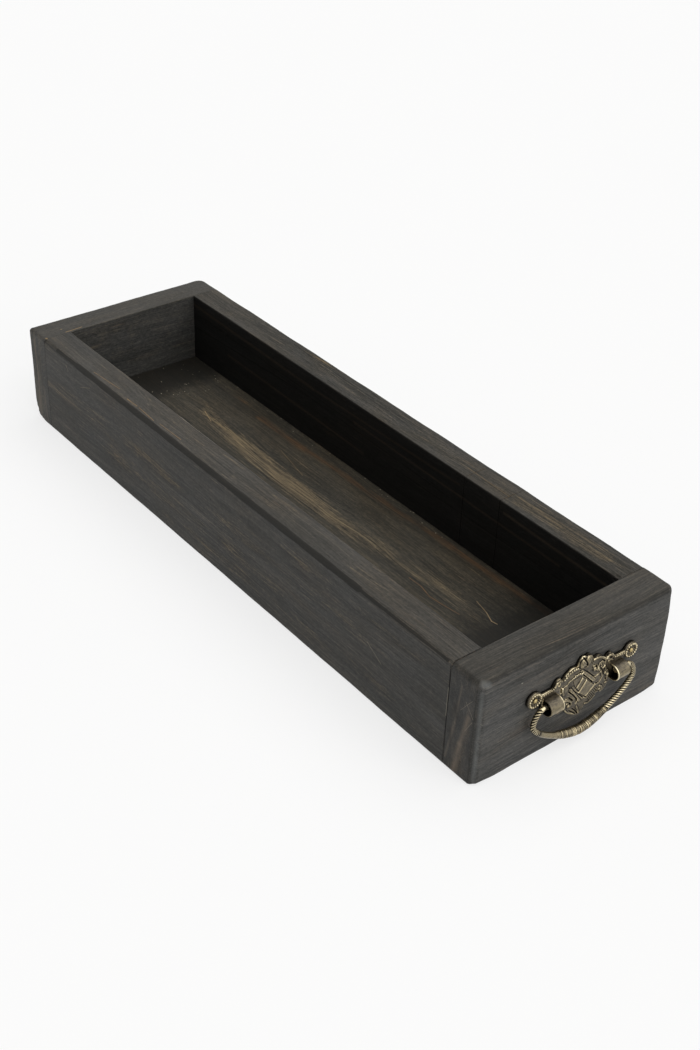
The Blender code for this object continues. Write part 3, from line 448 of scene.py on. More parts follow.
# faces: axis and side, kind, amount; chips: centre, half width, soft edge, push; edges: radius, waver, shape,
# middle share; marks: start and end, kind, half width, soft edge, amount; scratches: start and end, half width,
# tone, strength. Marks and scratches stand in groups that each lie on one plane
endLook = {"slot": "stained_pine_end", "grainAxis": 1, "turn": -math.pi / 2, "reach": 6.0, "edgeWear": 0.1}
boardLooks = {
    "front_side_board": {
        "box": ((-innerX + tray["gap"], -63.5, 0), (innerX - tray["gap"], -innerY, 62)),
        "slot": "stained_pine_side", "grainAxis": 0, "shift": (0, 0, 0), "seed": 11,
        "edges": {
            "-y+z": (2.3, 0.28, 1.25), "-y-z": (1.0, 0.3), "+y+z": (0.6, 0.4), "-x+z": (0.25, 0.6),
            "+x+z": (0.6, 0.7), "-x-y": (0.3, 0.5), "+x-y": (0.5, 0.8), "+x-z": (0.3,), "-x-z": (0.3,),
            "+y-z": (0.6,),
        },
        "tight": (0,), "faces": [((2, 1), "warm", 0.9), ((1, -1), "warm", 0.25)], "warmTint": (0.93, 0.85, 0.74, 1.0),
        "marks": [
            ("z", 61.5, (-174, -63, -150, -63, "pool", 0.8, 0.9, 0.9),
             (-150, -63, 120, -63, "pool", 1.3, 1.0, 1.0), (120, -63, 186, -63.4, "pool", 0.6, 1.0, 0.75)),
            ("z", 62, (-189, -46.0, 189, -46.0, "pale", 0.8, 2.5, 0.25),
             (-140, -58, -40, -58.5, "wear", 0.5, 4.0, 0.25), (-120, -54, 140, -52, "wear", 3.0, 6.0, 0.2)),
            ("y", -63.5, (-188, 33, -110, 37.5, "wear", 1.0, 6.0, 0.42),
             (-110, 37.5, -38, 35, "wear", 1.0, 6.0, 0.42), (-38, 35, 126, 36, "wear", 1.0, 6.0, 0.42),
             (-150, 20, 60, 22, "wear", 2.0, 6.0, 0.36), (-60, 9, 150, 14, "wear", 1.0, 5.0, 0.34),
             (60, 52, 186, 50, "wear", 1.0, 5.0, 0.3)),
        ],
        "scratches": [
            ("y", -63.5, (130, 35, 141, 28.5, 0.35, "#8b8170", 1.2),
             (-7.4, 44.2, -6.6, 43.8, 0.6, "#15130f", 1.6), (189.4, 58, 189.4, 2, 0.45, "#0b0a09", 3.0)),
            ("y", -63.6, (188.9, 47, 188.8, 30, 0.35, "#a09a8a", 1.8),
             (189.1, 61, 188.9, 2, 0.4, "#0d0d0c", 1.7)),
            ("z", 62, (189.4, -61, 189.4, -45, 0.5, "#080807", 3.2)),
            ("z", 61.9, (-172, -61.2, 168, -61.4, 0.28, "#1a1815", 1.5)),
            ("y", -63.4, (-172, 59.8, 168, 59.9, 0.25, "#1f1d1a", 1.2)),
            ("z", 62, (-137, -59, -111, -57, 0.3, "#a5845a", 1.1),
             (-98.5, -59.4, -88, -59.1, 0.35, "#a5845a", 1.3), (-86, -59.1, -69, -60, 0.3, "#a5845a", 1.2),
             (-64, -59, -43, -58.6, 0.3, "#a5845a", 1.1), (-64, -45.4, -29, -45.3, 0.3, "#8f8c86", 1.1)),
            ("y", -63, (-175.3, 61.6, -174.7, 61.6, 0.5, "#b9a988", 1.5)),
            ("y", -63.5, (-163, 56.4, -161, 53, 0.3, "#9a8d76", 1.2),
             (-147, 48.5, -134.7, 53.5, 0.25, "#8a7a60", 1.0)),
        ],
    },
    "right_end_board": {
        "box": ((innerX, -63.5, 0), (210, 63.5, 62)),
        **endLook, "shift": (0, 40, 13), "seed": 23,
        # The pale share on the outer end face is painted light: it lightens the face that the end lamp lights, so that
        # face looks more brightly lit.
        "faces": [((2, 1), "warm", 0.8), ((0, 1), "pale", 0.6), ((1, -1), "pool", 0.33)],
        "edges": {
            "+x-y": (3.3, 0.12, 1.2), "+x+y": (4.4, 0.15, 2.0, 0.6), "+x+z": (3.5, 0.12, 1.4),
            "+x-z": (2.6, 0.2, 2.0, 0.4), "-y+z": (2.5, 0.15, 1.25), "+y+z": (1.8, 0.2), "-x+z": (0.45, 0.5),
            "-y-z": (1.2, 0.2), "+y-z": (1.2, 0.2), "-x-y": (0.35, 0.6), "-x+y": (0.3, 0.5),
        },
        "marks": [
            ("z", 62, (200, -30, 199, 50, "wear", 1.0, 2.5, 0.26), (206, -20, 205, 56, "wear", 0.5, 1.5, 0.26)),
            ("x", 210, (-50, 40, 50, 42, "wear", 2.0, 6.0, 0.12)),
            ("y", -63.5, (199, 4, 204.5, 32, "wear", 0.6, 2.2, 0.75),
             (194, 20, 197, 50, "wear", 0.4, 2.0, 0.4), (203, 2, 206, 60, "pale", 1.0, 6.0, 0.4)),
            ("x", 209, (-58, 61, 60, 61, "pool", 0.8, 2.0, 0.5)),
            ("z", (61.3, 61), (190, -63, 206.5, -62.5, "pool", 1.4, 1.0, 0.38)),
        ],
        "bare": [(0.3, "#584f45"), (0.7, "#776a5a")], "brown": "#57514a", "warmTint": (0.94, 0.86, 0.74, 1.0),
        "scratches": [
            ("x", 210, (-37.9, 51.2, -37.4, 51.2, 0.45, "#a9a497", 1.4)),
            ("z", 62, (189.6, -59, 189.6, -46, 0.4, "#080807", 3.0),
             (189.6, 45, 189.6, 62, 0.3, "#0c0b0a", 2.0)),
            ("y", -63.5, (196.5, 1, 199.5, 20, 2.6, "#75695c", 1.15),
             (199.5, 20, 203.5, 39, 2.2, "#75695c", 1.05), (190.5, 6, 195, 30, 1.2, "#6a6157", 0.9)),
            ("y", -63.4, (207.1, 58, 206.9, 2, 0.5, "#252421", 1.5)),
            # These two pale grey bands are a painted highlight on the rounded corner where the outer end face meets the
            # front face and the top.
            ("x", 209.4, (-62.2, 56, -62.2, 3, 1.7, "#686a69", 1.3)),
            ("z", (60.6, 60.2), (208.3, -60.6, 209.3, -58.5, 2.6, "#6a6c6b", 1.2)),
            ("y", -63.5, (192, 33, 197, 44, 2.4, "#2e2c29", 1.1), (195, 30, 197.5, 54, 1.0, "#6a6157", 0.8),
             (194.5, 40, 196, 34, 2.6, "#282623", 1.3), (192.5, 24, 193.5, 15, 1.8, "#282623", 1.1),
             (205.5, 26, 206.5, 8, 1.6, "#2c2a27", 1.0), (201, 47, 206.5, 40, 0.25, "#8f8577", 1.1),
             (198, 40, 205, 50, 0.2, "#8f8577", 1.0), (202, 30, 206, 38, 0.25, "#8f8577", 1.0)),
        ],
    },
    "left_end_board": {
        "box": ((-210, -63.5, 0), (-innerX, 63.5, 62)),
        **endLook, "shift": (0, 40, 81), "seed": 37,
        "faces": [((2, 1), "warm", 0.8)], "brown": "#5c564c", "warmTint": (0.91, 0.84, 0.73, 1.0),
        "bare": [(0.3, "#585046"), (0.7, "#7d7261")], "bump": 0.3,
        "weights": {"broad": 0.7, "grain": 0.5, "fibre": 0.9, "speckle": 1.5, "rings": 0.05},
        "chips": [((-210, -63.5, 0), 0.5, 13.0, (2.2, 0.7, 1.7))],
        "edges": {
            "-x-y": (3.0, 0.18), "-x+y": (6.0, 0.15), "-x+z": (3.0, 0.12, 1.6), "-x-z": (7.0, 0.2, 2.0, 0.4),
            "-y+z": (2.0, 0.3), "+y+z": (1.8, 0.2), "+x+z": (0.45, 0.5), "-y-z": (1.2, 0.2), "+y-z": (1.2, 0.2),
            "+x-y": (0.2, 0.6), "+x+y": (0.2, 0.5),
        },
        "marks": [
            ("x", -189.5, (-45, 46, 45, 46, "mottle", 6.0, 20.0, 1.0)),
            ("y", -63.5, (-201, 6, -198, 52, "wear", 0.5, 2.0, 0.4)),
        ],
        "scratches": [
            ("y", -63.5, (-203, 4, -201.5, 30, 1.4, "#6e6357", 1.0),
             (-201.5, 30, -203, 56, 1.3, "#6e6357", 1.0), (-194, 4, -196, 26, 1.0, "#6a6055", 0.9),
             (-198, 46, -196.5, 20, 1.6, "#2c2a27", 1.1)),
            ("z", 62, (-191, -47.5, -191.6, -36, 0.45, "#a8895c", 1.4),
             (-190.4, -61.6, -189.8, -61.2, 0.8, "#a8895c", 1.5),
             (-196, -48.2, -195.8, -47.8, 0.5, "#b39a70", 1.5)),
        ],
    },
    "bottom_board": {
        "box": ((-innerX + 0.1, -innerY + 0.1, 0), (innerX - 0.1, innerY - 0.1, 18)),
        "slot": "stained_pine_bottom", "grainAxis": 0, "shift": (60, 9, 5), "seed": 51, "reach": 2.0,
        # The pooled tone here is the colour of the painted shade on the floor.
        "faces": [((2, 1), "warm", 0.3)], "pooled": "#100f0c",
        "edges": {
            "-y-z": (0.6,), "+y-z": (0.6,), "-y+z": (0.3,), "+y+z": (0.3,),
        },
        "tight": (0, 1),
        "marks": [
            ("z", 18, (-125, 10, -88, 7.2, "wear", 0.5, 11.0, 0.66),
             (-88, 7.2, -43, 4.5, "wear", 2.0, 10.0, 0.84), (-43, 4.5, 11, 5, "wear", 2.0, 10.0, 0.84),
             (11, 5, 61, 6.5, "wear", 1.5, 9.0, 0.74), (61, 6.5, 130, 10, "wear", 1.0, 9.0, 0.52),
             (-99, 33.5, -14, 36.4, "rust", 0.3, 4.5, 0.55), (-14, 36.4, 77, 39.8, "rust", 0.3, 4.5, 0.6),
             (77, 39.8, 189, 41.5, "rust", 0.3, 3.5, 0.5), (-180, 38, -120, 36, "rust", 0.5, 4.0, 0.4),
             (-182, -30, -166, 40, "dust", 14.0, 30.0, 1.0), (-150, 42, 100, 43, "dust", 1.0, 3.0, 0.9),
             # These pool marks are painted shade: the floor darker across the far end, along the front side, across the
             # near end and in the crease along the back side.
             (-189, -44, -189, 44, "pool", 7.0, 48.0, 0.78), (-189, -34, -104, -38, "pool", 9.0, 36.0, 0.85),
             (189, -45, 189, 45, "pool", 14.0, 84.0, 0.76), (0, -45, 189, -45, "pool", 8.0, 20.0, 0.35),
             (-189, 45, 189, 45, "pool", 0.5, 2.5, 0.35)),
        ],
        "scratches": [
            ("z", 18, (121, 18, 131, 15.7, 0.3, "#a88f68", 1.1), (131, 15.7, 138, 12.9, 0.36, "#bda47c", 1.25),
             (138, 12.9, 141.6, 13.6, 0.36, "#bda47c", 1.2), (-125, 10.2, -112.6, 6.6, 0.35, "#b59b72", 1.2),
             (-123, 7.4, -113, 9.6, 0.3, "#a88c62", 1.1), (84.4, 2.5, 93.8, 2.7, 0.28, "#86633f", 1.2),
             (93.8, 2.7, 103, 0.6, 0.3, "#86633f", 1.3), (103, 0.6, 110.3, 1.2, 0.3, "#86633f", 1.3),
             (110.3, 1.2, 124, 3.2, 0.3, "#86633f", 1.2), (-60, 22, -30, 16, 0.25, "#97825e", 0.9)),
        ],
        "stain": [(0.0, "#1c1b18"), (0.42, "#34322c"), (0.62, "#423e36"), (1.0, "#5a5345")],
    },
}
backLook = {
    "slot": "stained_pine_side", "grainAxis": 0, "shift": (30, -70, 44), "seed": 64, "tight": (0,),
    # The pool share on the inner face, its near-black pooled tone and the pool band over the lower half of that face
    # are painted shade. The inner face is darkened because little light reaches it, most of all low down.
    "faces": [((2, 1), "warm", 0.6), ((1, -1), "pool", 0.62)], "pooled": "#080706", "sheen": 0.08,
    "marks": [
        ("y", 45, (-189, 24, 189, 24, "pool", 8.0, 9.0, 1.3)),
        ("z", 62, (-189, 50, 189, 50, "pale", 4.0, 6.0, 0.2), (-114, 59.3, -52, 61, "wear", 0.3, 3.0, 0.4),
         (-160, 54, 180, 53, "wear", 2.0, 6.0, 0.24), (112, 54, 172, 54, "wear", 3.0, 7.0, 0.5)),
    ],
    "scratches": [
        ("z", 62, (70, 52.5, 104, 51.5, 0.3, "#8b7350", 1.0)),
        # The near-black lines run lengthwise along the inner face, 37 to 50 mm up, at the top of its darkened lower
        # part.
        ("y", 45, (-189, 40, -70, 46, 0.7, "#050504", 1.6), (-70, 46, 60, 43, 0.6, "#050504", 1.4),
         (-189, 56, -60, 53, 1.6, "#3d342a", 0.75), (-60, 53, 72, 55, 1.3, "#3d342a", 0.65),
         (-150, 36, -10, 33, 1.4, "#3f362c", 0.7), (-20, 49.5, 150, 47, 1.2, "#3d342a", 0.75),
         (-170, 50, -20, 48.5, 0.6, "#050504", 1.3), (10, 37, 186, 40, 0.6, "#050504", 1.4),
         (108, 56, 186, 54, 1.4, "#4a4034", 0.8), (76, 18, 76, 62, 0.35, "#030302", 2.2),
         (104, 18, 104, 62, 0.35, "#030302", 2.0)),
    ],
    "edges": {
        "+y+z": (1.8, 0.2), "+y-z": (1.0, 0.3), "-y+z": (0.5, 0.4), "-y-z": (0.6,), "-x+z": (0.22, 0.4),
        "+x+z": (0.25, 0.4), "-x-y": (0.22, 0.5), "+x-y": (0.22, 0.5), "-x+y": (0.25, 0.5),
        "+x+y": (0.25, 0.5),
    },
}
for name, start, end, chips in (
    ("back_side_board_long", -innerX + tray["gap"], tray["farSeam"] - tray["seamHalf"], ()),
    ("back_side_board_insert", tray["farSeam"] + tray["seamHalf"], tray["nearSeam"] - tray["seamHalf"], ()),
    ("back_side_board_short", tray["nearSeam"] + tray["seamHalf"], innerX - tray["gap"],
     [((187, innerY, 62), 1.6, 1.6, (0, 0.5, -0.9)), ((184.5, innerY, 62), 0.6, 1.0, (0, 0.3, -0.5))]),
):
    boardLooks[name] = {**backLook, "box": ((start, innerY, 0), (end, 63.5, 62)), "chips": chips}

for name, look in boardLooks.items():
    look = {**pineLook, **look}
    material = stainedPine(name + "_stain", look)
    showPiece(name + "_stained", buildBoard(name, *look["box"], look), material, "tray", look["slot"], name)
print("boards built")


# Handles: each in its own frame, X out from the board, Y along it, Z up from the middle of the hoods

handleLook = {
    "height": 31.8, "rightShift": 2.3, "leftShift": 0.0, "pinY": 32.0, "pinZ": 6.2, "armHalf": 1.4, "rosette": 4.5,
    "earY": 26.8, "earZ": 4.7, "thick": 2.2, "crown": 0.35, "lip": 0.45, "meshStep": 0.2,
    "sides": ((1.1, 0.35), (0.3, 0.1)), "ribSoft": 0.6,  # depth and rub of the two rows behind the edge; the side wall darkens towards the board, and the back row's near-black rub is painted contact shade where the plate meets the board
}
crestRight = [  # (y, z), smooth or sharp
    (0.0, 17.4), (0.9, 17.8), (2.0, 17.9), (3.1, 17.3), (4.2, 16.0), (5.1, 13.6, "sharp"), (6.6, 13.9),
    (8.2, 14.0), (9.8, 13.6), (11.2, 12.8), (12.6, 11.6), (14.4, 9.9, "sharp"), (15.2, 10.9), (16.4, 11.6),
    (17.8, 11.4), (19.2, 10.2), (20.4, 7.6, "sharp"),
]
crestLeft = [
    (-20.4, 7.6, "sharp"), (-19.4, 9.9), (-18.2, 11.2), (-16.6, 11.7), (-15.3, 10.9), (-14.4, 9.8, "sharp"),
    (-13.3, 11.0), (-12.2, 12.0), (-11.0, 12.8), (-9.5, 13.7), (-7.6, 14.1), (-5.2, 13.5, "sharp"),
    (-4.7, 15.2), (-3.8, 16.8), (-2.4, 17.9), (-1.0, 18.0),
]
foot = [
    (20.4, -5.2, "sharp"), (18.0, -7.6), (16.4, -9.7), (14.8, -10.9), (13.0, -10.7), (11.2, -10.1, "sharp"),
    (10.0, -11.9), (7.6, -13.7), (5.2, -14.6), (3.3, -14.1, "sharp"), (1.9, -16.2), (0.0, -18.3, "sharp"),
    (-2.2, -17.6), (-4.4, -16.4), (-6.4, -15.4), (-8.2, -14.0), (-9.6, -12.5), (-11.0, -10.2, "sharp"),
    (-12.8, -10.6), (-14.8, -10.8), (-16.4, -9.7), (-18.0, -7.6), (-20.4, -5.2, "sharp"),
]


def smoothLoop(marks, step):  # a closed curve through the marks, with sharp corners where a mark says so
    points = []
    count = len(marks)
    for i in range(count):
        a, b = np.array(marks[i][:2]), np.array(marks[(i + 1) % count][:2])
        before = a if len(marks[i]) > 2 else np.array(marks[i - 1][:2])
        after = b if len(marks[(i + 1) % count]) > 2 else np.array(marks[(i + 2) % count][:2])
        pieces = max(int(np.linalg.norm(b - a) / step), 1)
        for t in np.arange(pieces) / pieces:
            bent = (2 * before - 5 * a + 4 * b - after) * t**2 + (3 * a - before - 3 * b + after) * t**3
            points.append(0.5 * (2 * a + (b - before) * t + bent))
    return np.array(points)


def plateOutline(look):
    pinY, pinZ, half, radius = (look[key] for key in ("pinY", "pinZ", "armHalf", "rosette"))
    opening = math.asin(half / radius)
    turns = np.linspace(math.pi - opening, -math.pi + opening, 60)
    rim = [(pinY + radius * math.cos(a), pinZ + radius * math.sin(a), "sharp") for a in turns]
    ear = [(look["earY"], max(look["earZ"], pinZ - half), "sharp"), (look["earY"], -look["earZ"], "sharp")]
    mirrored = [(-y, z, sharp) for y, z, sharp in reversed(rim + ear)]
    return smoothLoop(crestRight + rim + ear + foot + mirrored + crestLeft, look["meshStep"])


reliefLines = [  # half width, soft edge, rise, then the points
    (0.75, 0.35, 0.42, -2.4, 9.8, 6.9, 0.3),  # long diagonal bar
    (0.12, 0.3, -0.6, -2.2, 8.3, 0.4, 5.6, 3.4, 2.3, 6.2, -0.9), (0.1, 0.3, -0.3, 0.9, 8.6, 4.2, 5.0, 7.4, 1.7),
    (0.55, 0.35, 0.35, -9.2, 1.9, -1.4, -8.8),  # shorter diagonal bars
    (0.3, 0.3, 0.25, -7.6, 2.7, 0.4, -8.4), (0.15, 0.35, -0.7, -9.7, 0.6, -6.6, -2.6, -3.6, -6.6),
    (0.12, 0.3, -0.55, -6.2, -0.4, -2.6, -4.2, 1.2, -8.2),
    (0.3, 0.35, -0.75, -2.0, 5.8, -3.4, 3.4, -5.4, 1.0),  # dark slits
    (0.3, 0.35, -0.7, 1.2, 3.4, -0.8, 0.6, -3.1, -2.2),
    (0.2, 0.35, -0.8, -14.5, 5.3, -11.4, 5.9, -10.6, 7.1, -8.6, 8.0, -6.3, 9.1, -2.7, 9.5),
    (0.5, 0.5, 0.25, -13.4, 9.6, -11.4, 11.0, -9.4, 12.2, -7.6, 12.7, -5.6, 12.4),
    (0.4, 0.4, 0.5, 5.4, 12.9, 7.4, 13.1, 9.4, 12.7, 11.4, 11.6, 13.2, 10.1, 14.2, 9.1),  # smooth rim, upper right
    (0.35, 0.4, 0.45, -19.4, 8.2, -18.4, 10.1, -16.8, 10.7, -15.4, 9.9),  # ears
    (0.45, 0.4, 0.5, 15.1, 9.8, 16.4, 10.6, 18.0, 10.3, 19.3, 8.8),
    (0.2, 0.35, -0.6, 15.6, 8.7, 17.0, 8.9, 18.6, 8.0), (0.3, 0.35, 0.35, 16.0, 7.2, 17.6, 7.3, 19.0, 6.4),
    (0.35, 0.3, -1.5, -17.0, 9.2, -16.8, 8.1),  # pierced hole and slot
    (0.25, 0.3, -1.5, -15.1, 5.4, -14.9, 2.6), (0.3, 0.4, 0.4, -14.2, 5.0, -13.8, 3.2, -13.4, 0.6),
    (0.2, 0.3, -0.7, 5.0, 8.3, 5.4, 9.2, 6.4, 9.4), (0.3, 0.3, -0.8, 7.4, 8.4, 8.1, 7.3, 7.9, 6.5),
    (0.35, 0.35, 0.45, 9.4, 5.6, 9.0, 7.2, 9.8, 8.8, 11.2, 9.2, 12.3, 8.3, 12.2, 6.9, 11.2, 6.3),  # scroll
    (0.2, 0.35, -0.7, 12.6, 9.2, 13.6, 8.0, 13.6, 6.4, 12.6, 5.4),
    (0.2, 0.35, -0.75, 7.0, 2.2, 8.6, 2.2, 10.0, 2.6, 10.8, 3.6),
    (0.35, 0.45, 0.35, 8.6, 5.4, 10.4, 4.6, 11.8, 2.6, 12.6, 0.4),
    (0.25, 0.35, -0.75, 12.9, -0.6, 12.2, -2.2, 11.1, -3.4, 9.9, -3.5, 8.8, -3.0),
    (0.3, 0.4, 0.4, 13.8, 5.2, 15.0, 3.2, 14.2, 1.0), (0.3, 0.4, 0.4, 15.8, 1.8, 17.0, 0.0, 16.2, -2.2),
    (0.25, 0.3, -0.8, 15.0, 0.9, 15.5, -0.4), (0.25, 0.3, -0.7, 15.8, -3.4, 16.4, -4.4),
    (0.25, 0.35, -0.85, 2.0, -7.9, 4.2, -6.6, 6.0, -4.9, 8.2, -3.4), (0.15, 0.3, -0.6, 2.0, -7.9, 3.8, -9.5),
    (0.2, 0.35, -0.75, -12.0, -3.3, -10.7, -2.9, -9.1, -3.3, -7.6, -4.8, -5.9, -6.7),
    (0.35, 0.4, 0.35, -11.8, -4.4, -10.2, -4.6, -8.6, -5.6, -7.2, -7.2),
    (0.2, 0.35, -0.75, -10.6, -7.4, -9.8, -6.5, -8.5, -6.7, -7.3, -7.8, -6.9, -9.2),  # ring round a boss
    (0.3, 0.3, -1.1, -3.5, -7.1, -3.2, -8.2, -3.4, -9.2),
    (0.25, 0.35, -0.7, 10.7, -6.8, 10.3, -7.9, 10.6, -9.2),
    (0.35, 0.4, 0.4, 12.0, -6.2, 13.6, -7.4, 14.2, -9.0, 13.2, -9.9),
    (0.15, 0.35, -0.45, -7.4, -12.4, -5.0, -14.4, -2.4, -17.0),  # flutes towards the tip
    (0.15, 0.35, -0.4, -5.2, -12.2, -3.0, -14.4, -1.4, -16.8),
    (0.3, 0.4, 0.3, -2.6, -12.0, -1.4, -14.4, -0.5, -17.0),
    (0.25, 0.4, 0.3, 3.2, -13.0, 5.2, -13.6, 7.4, -12.8, 9.4, -11.2),
    (0.25, 0.35, 0.3, -10.2, -11.2, -8.4, -13.2, -6.4, -14.6, -3.0, -16.6),
    (0.2, 0.5, -0.75, -2.1, 17.4, -0.4, 14.8, 1.6, 11.4),  # groove of the crest
    (0.15, 0.35, -0.4, -5.0, 13.0, -3.8, 12.0, -1.4, 11.4, 0.8, 11.0),
    (0.1, 0.35, -0.3, 2.6, 16.4, 3.4, 13.6, 4.4, 11.2),
]
reliefPlateaus = [  # soft edge, rise, then the corners
    (0.35, 0.45, 1.4, 3.2, 7.6, -2.9, 2.0, -7.6, -3.5, -2.7),  # smooth raised rectangle
    (0.35, 0.3, -1.5, 5.8, 0.9, 3.8, -3.2, -1.7, -5.0, 0.9),
    (0.35, 0.18, -7.9, 6.6, -2.8, 7.2, -2.6, 5.6, -5.9, 1.4),
    (0.5, 0.18, -14.0, 4.6, -10.6, 5.4, -9.9, 2.4, -13.2, -1.0),
]
reliefDomes = [  # middle, half sizes, rise
    (-2.3, 14.4, 2.0, 2.7, 1.25), (1.5, 15.0, 2.3, 2.7, 1.1), (6.3, 7.2, 0.95, 1.2, 0.9),
    (-8.7, -8.8, 1.0, 1.0, 0.8), (12.3, -8.3, 1.0, 0.9, 0.6), (11.1, 7.6, 0.6, 0.7, 0.45),
    (-1.9, 9.1, 0.9, 0.8, 0.5), (-8.4, 1.4, 0.9, 0.9, 0.3), (14.4, 1.0, 0.8, 0.8, 0.5),
    (16.4, -0.9, 0.8, 0.9, 0.5), (17.2, -2.9, 0.7, 0.7, 0.45), (16.4, -6.2, 1.1, 0.7, 0.4),
    (12.9, 4.6, 0.9, 0.7, 0.4), (9.0, 6.2, 0.7, 0.8, 0.4),
]
reliefRibs = [  # direction in degrees, gap between ribs, rise, then the corners
    (-52, 0.95, 0.16, 3.4, -8.6, 9.4, -4.2, 11.0, -9.4, 6.4, -13.0),
    (48, 1.25, 0.22, -13.6, 9.2, -5.4, 12.0, -6.0, 14.4, -13.4, 12.2),
    (-56, 1.1, 0.1, -4.6, 12.2, 4.6, 12.0, 3.4, 17.0, -3.4, 17.0),
]


def withinCorners(points, corners, soft):  # 1 inside a convex shape, falling to 0 at its border
    ends = np.roll(corners, -1, 0)
    area = sum(a[0] * b[1] - b[0] * a[1] for a, b in zip(corners, ends))
    gap = np.full(len(points), 1e9)
    for a, b in zip(corners, ends):
        way = (b - a) / np.linalg.norm(b - a) * np.sign(area)
        gap = np.minimum(gap, (points[:, 1] - a[1]) * way[0] - (points[:, 0] - a[0]) * way[1])
    return ease(gap / soft)


def plateField(points, look):  # the smooth crowned face under the relief
    middle = np.hypot(points[:, 0] / 15.5, (points[:, 1] - 0.5) / 12.5)
    return look["thick"] + look["crown"] * (1 - ease((middle - 0.45) / 0.6))


def plateHeight(points, look):
    y, z = points.T
    height = plateField(points, look)
    for half, soft, rise, *line in reliefLines:
        line = np.reshape(line, (-1, 2))
        height += rise * np.max([nearStroke(points, a, b, half, soft) for a, b in zip(line, line[1:])], axis=0)
    for soft, rise, *corners in reliefPlateaus:
        height += rise * withinCorners(points, np.reshape(corners, (-1, 2)), soft)
    for dy, dz, sy, sz, rise in reliefDomes:
        height += rise * np.sqrt(np.clip(1 - ((y - dy) / sy) ** 2 - ((z - dz) / sz) ** 2, 0, 1))
    for angle, gap, rise, *corners in reliefRibs:
        across = y * math.sin(math.radians(angle)) - z * math.cos(math.radians(angle))
        within = withinCorners(points, np.reshape(corners, (-1, 2)), look["ribSoft"])
        height += rise * np.abs(np.sin(math.pi * across / gap)) * within
    for side in (-1, 1):
        dy, dz = y - side * look["pinY"], z - look["pinZ"]
        away, turn = np.hypot(dy, dz), np.arctan2(dz, dy)
        rim = 1.95 + 0.25 * np.sqrt(np.clip(1 - ((away - 3.75) / 0.8) ** 2, 0, 1))
        petals = 0.17 * np.abs(np.sin(turn * 8)) * ease((away - 1.2) / 0.5)
        dish = np.where(away < 3.0, 1.75 + petals + 0.35 * ease((away - 2.5) / 0.6), rim)
        height = np.where(away < look["rosette"] + 0.05, dish, height)
    return height


def buildPlateFront(look):
    outline, step = plateOutline(look), look["meshStep"]
    ends = np.roll(outline, -1, 0)
    near = kdtree.KDTree(len(outline) * 2)
    for i, (y, z) in enumerate(np.concatenate([outline, (outline + ends) / 2])):
        near.insert((y, z, 0), i)
    near.balance()
    inner = []
    for z in np.arange(outline[:, 1].min() + step, outline[:, 1].max(), step):
        hit = (outline[:, 1] > z) != (ends[:, 1] > z)
        a, b = outline[hit], ends[hit]
        crossings = np.sort(a[:, 0] + (z - a[:, 1]) * (b[:, 0] - a[:, 0]) / (b[:, 1] - a[:, 1]))
        for first, last in zip(crossings[::2], crossings[1::2]):
            ys = np.arange(math.ceil((first + 0.1) / step), math.floor((last - 0.1) / step) + 1) * step
            inner += [(y, z) for y in ys if near.find((y, z, 0))[2] > step * 0.5]
    flat = [Vector(p) for p in np.concatenate([outline, np.array(inner)])]
    rims = [(i, (i + 1) % len(outline)) for i in range(len(outline))]
    flat, _, faces, *_ = delaunay_2d_cdt(flat, rims, [], 1, 1e-4)
    flat = np.array([(p.x, p.y) for p in flat])
    gap = np.array([near.find((y, z, 0))[2] for y, z in flat])
    height = plateHeight(flat, look)
    turns = np.arange(8) * math.pi / 4
    around = [plateHeight(flat + 0.45 * np.array((math.cos(a), math.sin(a))), look) for a in turns]
    hollow = (height - np.mean(around, axis=0)) / 0.3  # below 0 in a groove, above it on a ridge
    raised = ease((height - plateField(flat, look)) / 0.42)
    onRosette = np.hypot(np.abs(flat[:, 0]) - look["pinY"], flat[:, 1] - look["pinZ"]) < look["rosette"] + 0.1
    rubAndPaintedLight = 0.41 + 0.1 * raised + np.where(hollow > 0, 0.36, 1.6) * hollow + 0.48 * ease(1 - gap / 0.6)
    rubAndPaintedLight = np.clip(np.where(onRosette, 0.4 + 0.8 * hollow + 0.3 * ease(1 - gap / 0.5), rubAndPaintedLight), 0, 1)
    rounded = 1 - np.clip(gap / look["lip"], 0, 1)
    height = height - look["lip"] * (1 - np.sqrt(1 - rounded**2)) * 0.8
    bm = bmesh.new()
    layer = bm.verts.layers.float.new("rubAndPaintedLight")
    verts = [bm.verts.new((h, y, z)) for h, (y, z) in zip(height, flat)]
    for vert, value in zip(verts, rubAndPaintedLight):
        vert[layer] = value
    for face in faces:
        bm.faces.new([verts[i] for i in face])
    bmesh.ops.recalc_face_normals(bm, faces=bm.faces)
    if sum(f.normal.x for f in bm.faces) < 0:
        bmesh.ops.reverse_faces(bm, faces=bm.faces)
    rim = [e for e in bm.edges if e.is_boundary]
    # The rows down the side wall darken towards the board; the back row is painted contact shade.
    for depth, value in look["sides"]:
        grown = bmesh.ops.extrude_edge_only(bm, edges=rim)["geom"]
        for item in grown:
            if isinstance(item, bmesh.types.BMVert):
                item.co.x = depth
                item[layer] = value
        rim = [e for e in grown if isinstance(e, bmesh.types.BMEdge) and e.is_boundary]
    bmesh.ops.holes_fill(bm, edges=rim)
    bmesh.ops.triangulate(bm, faces=[f for f in bm.faces if len(f.verts) > 4])
    bmesh.ops.recalc_face_normals(bm, faces=bm.faces)
    return bm


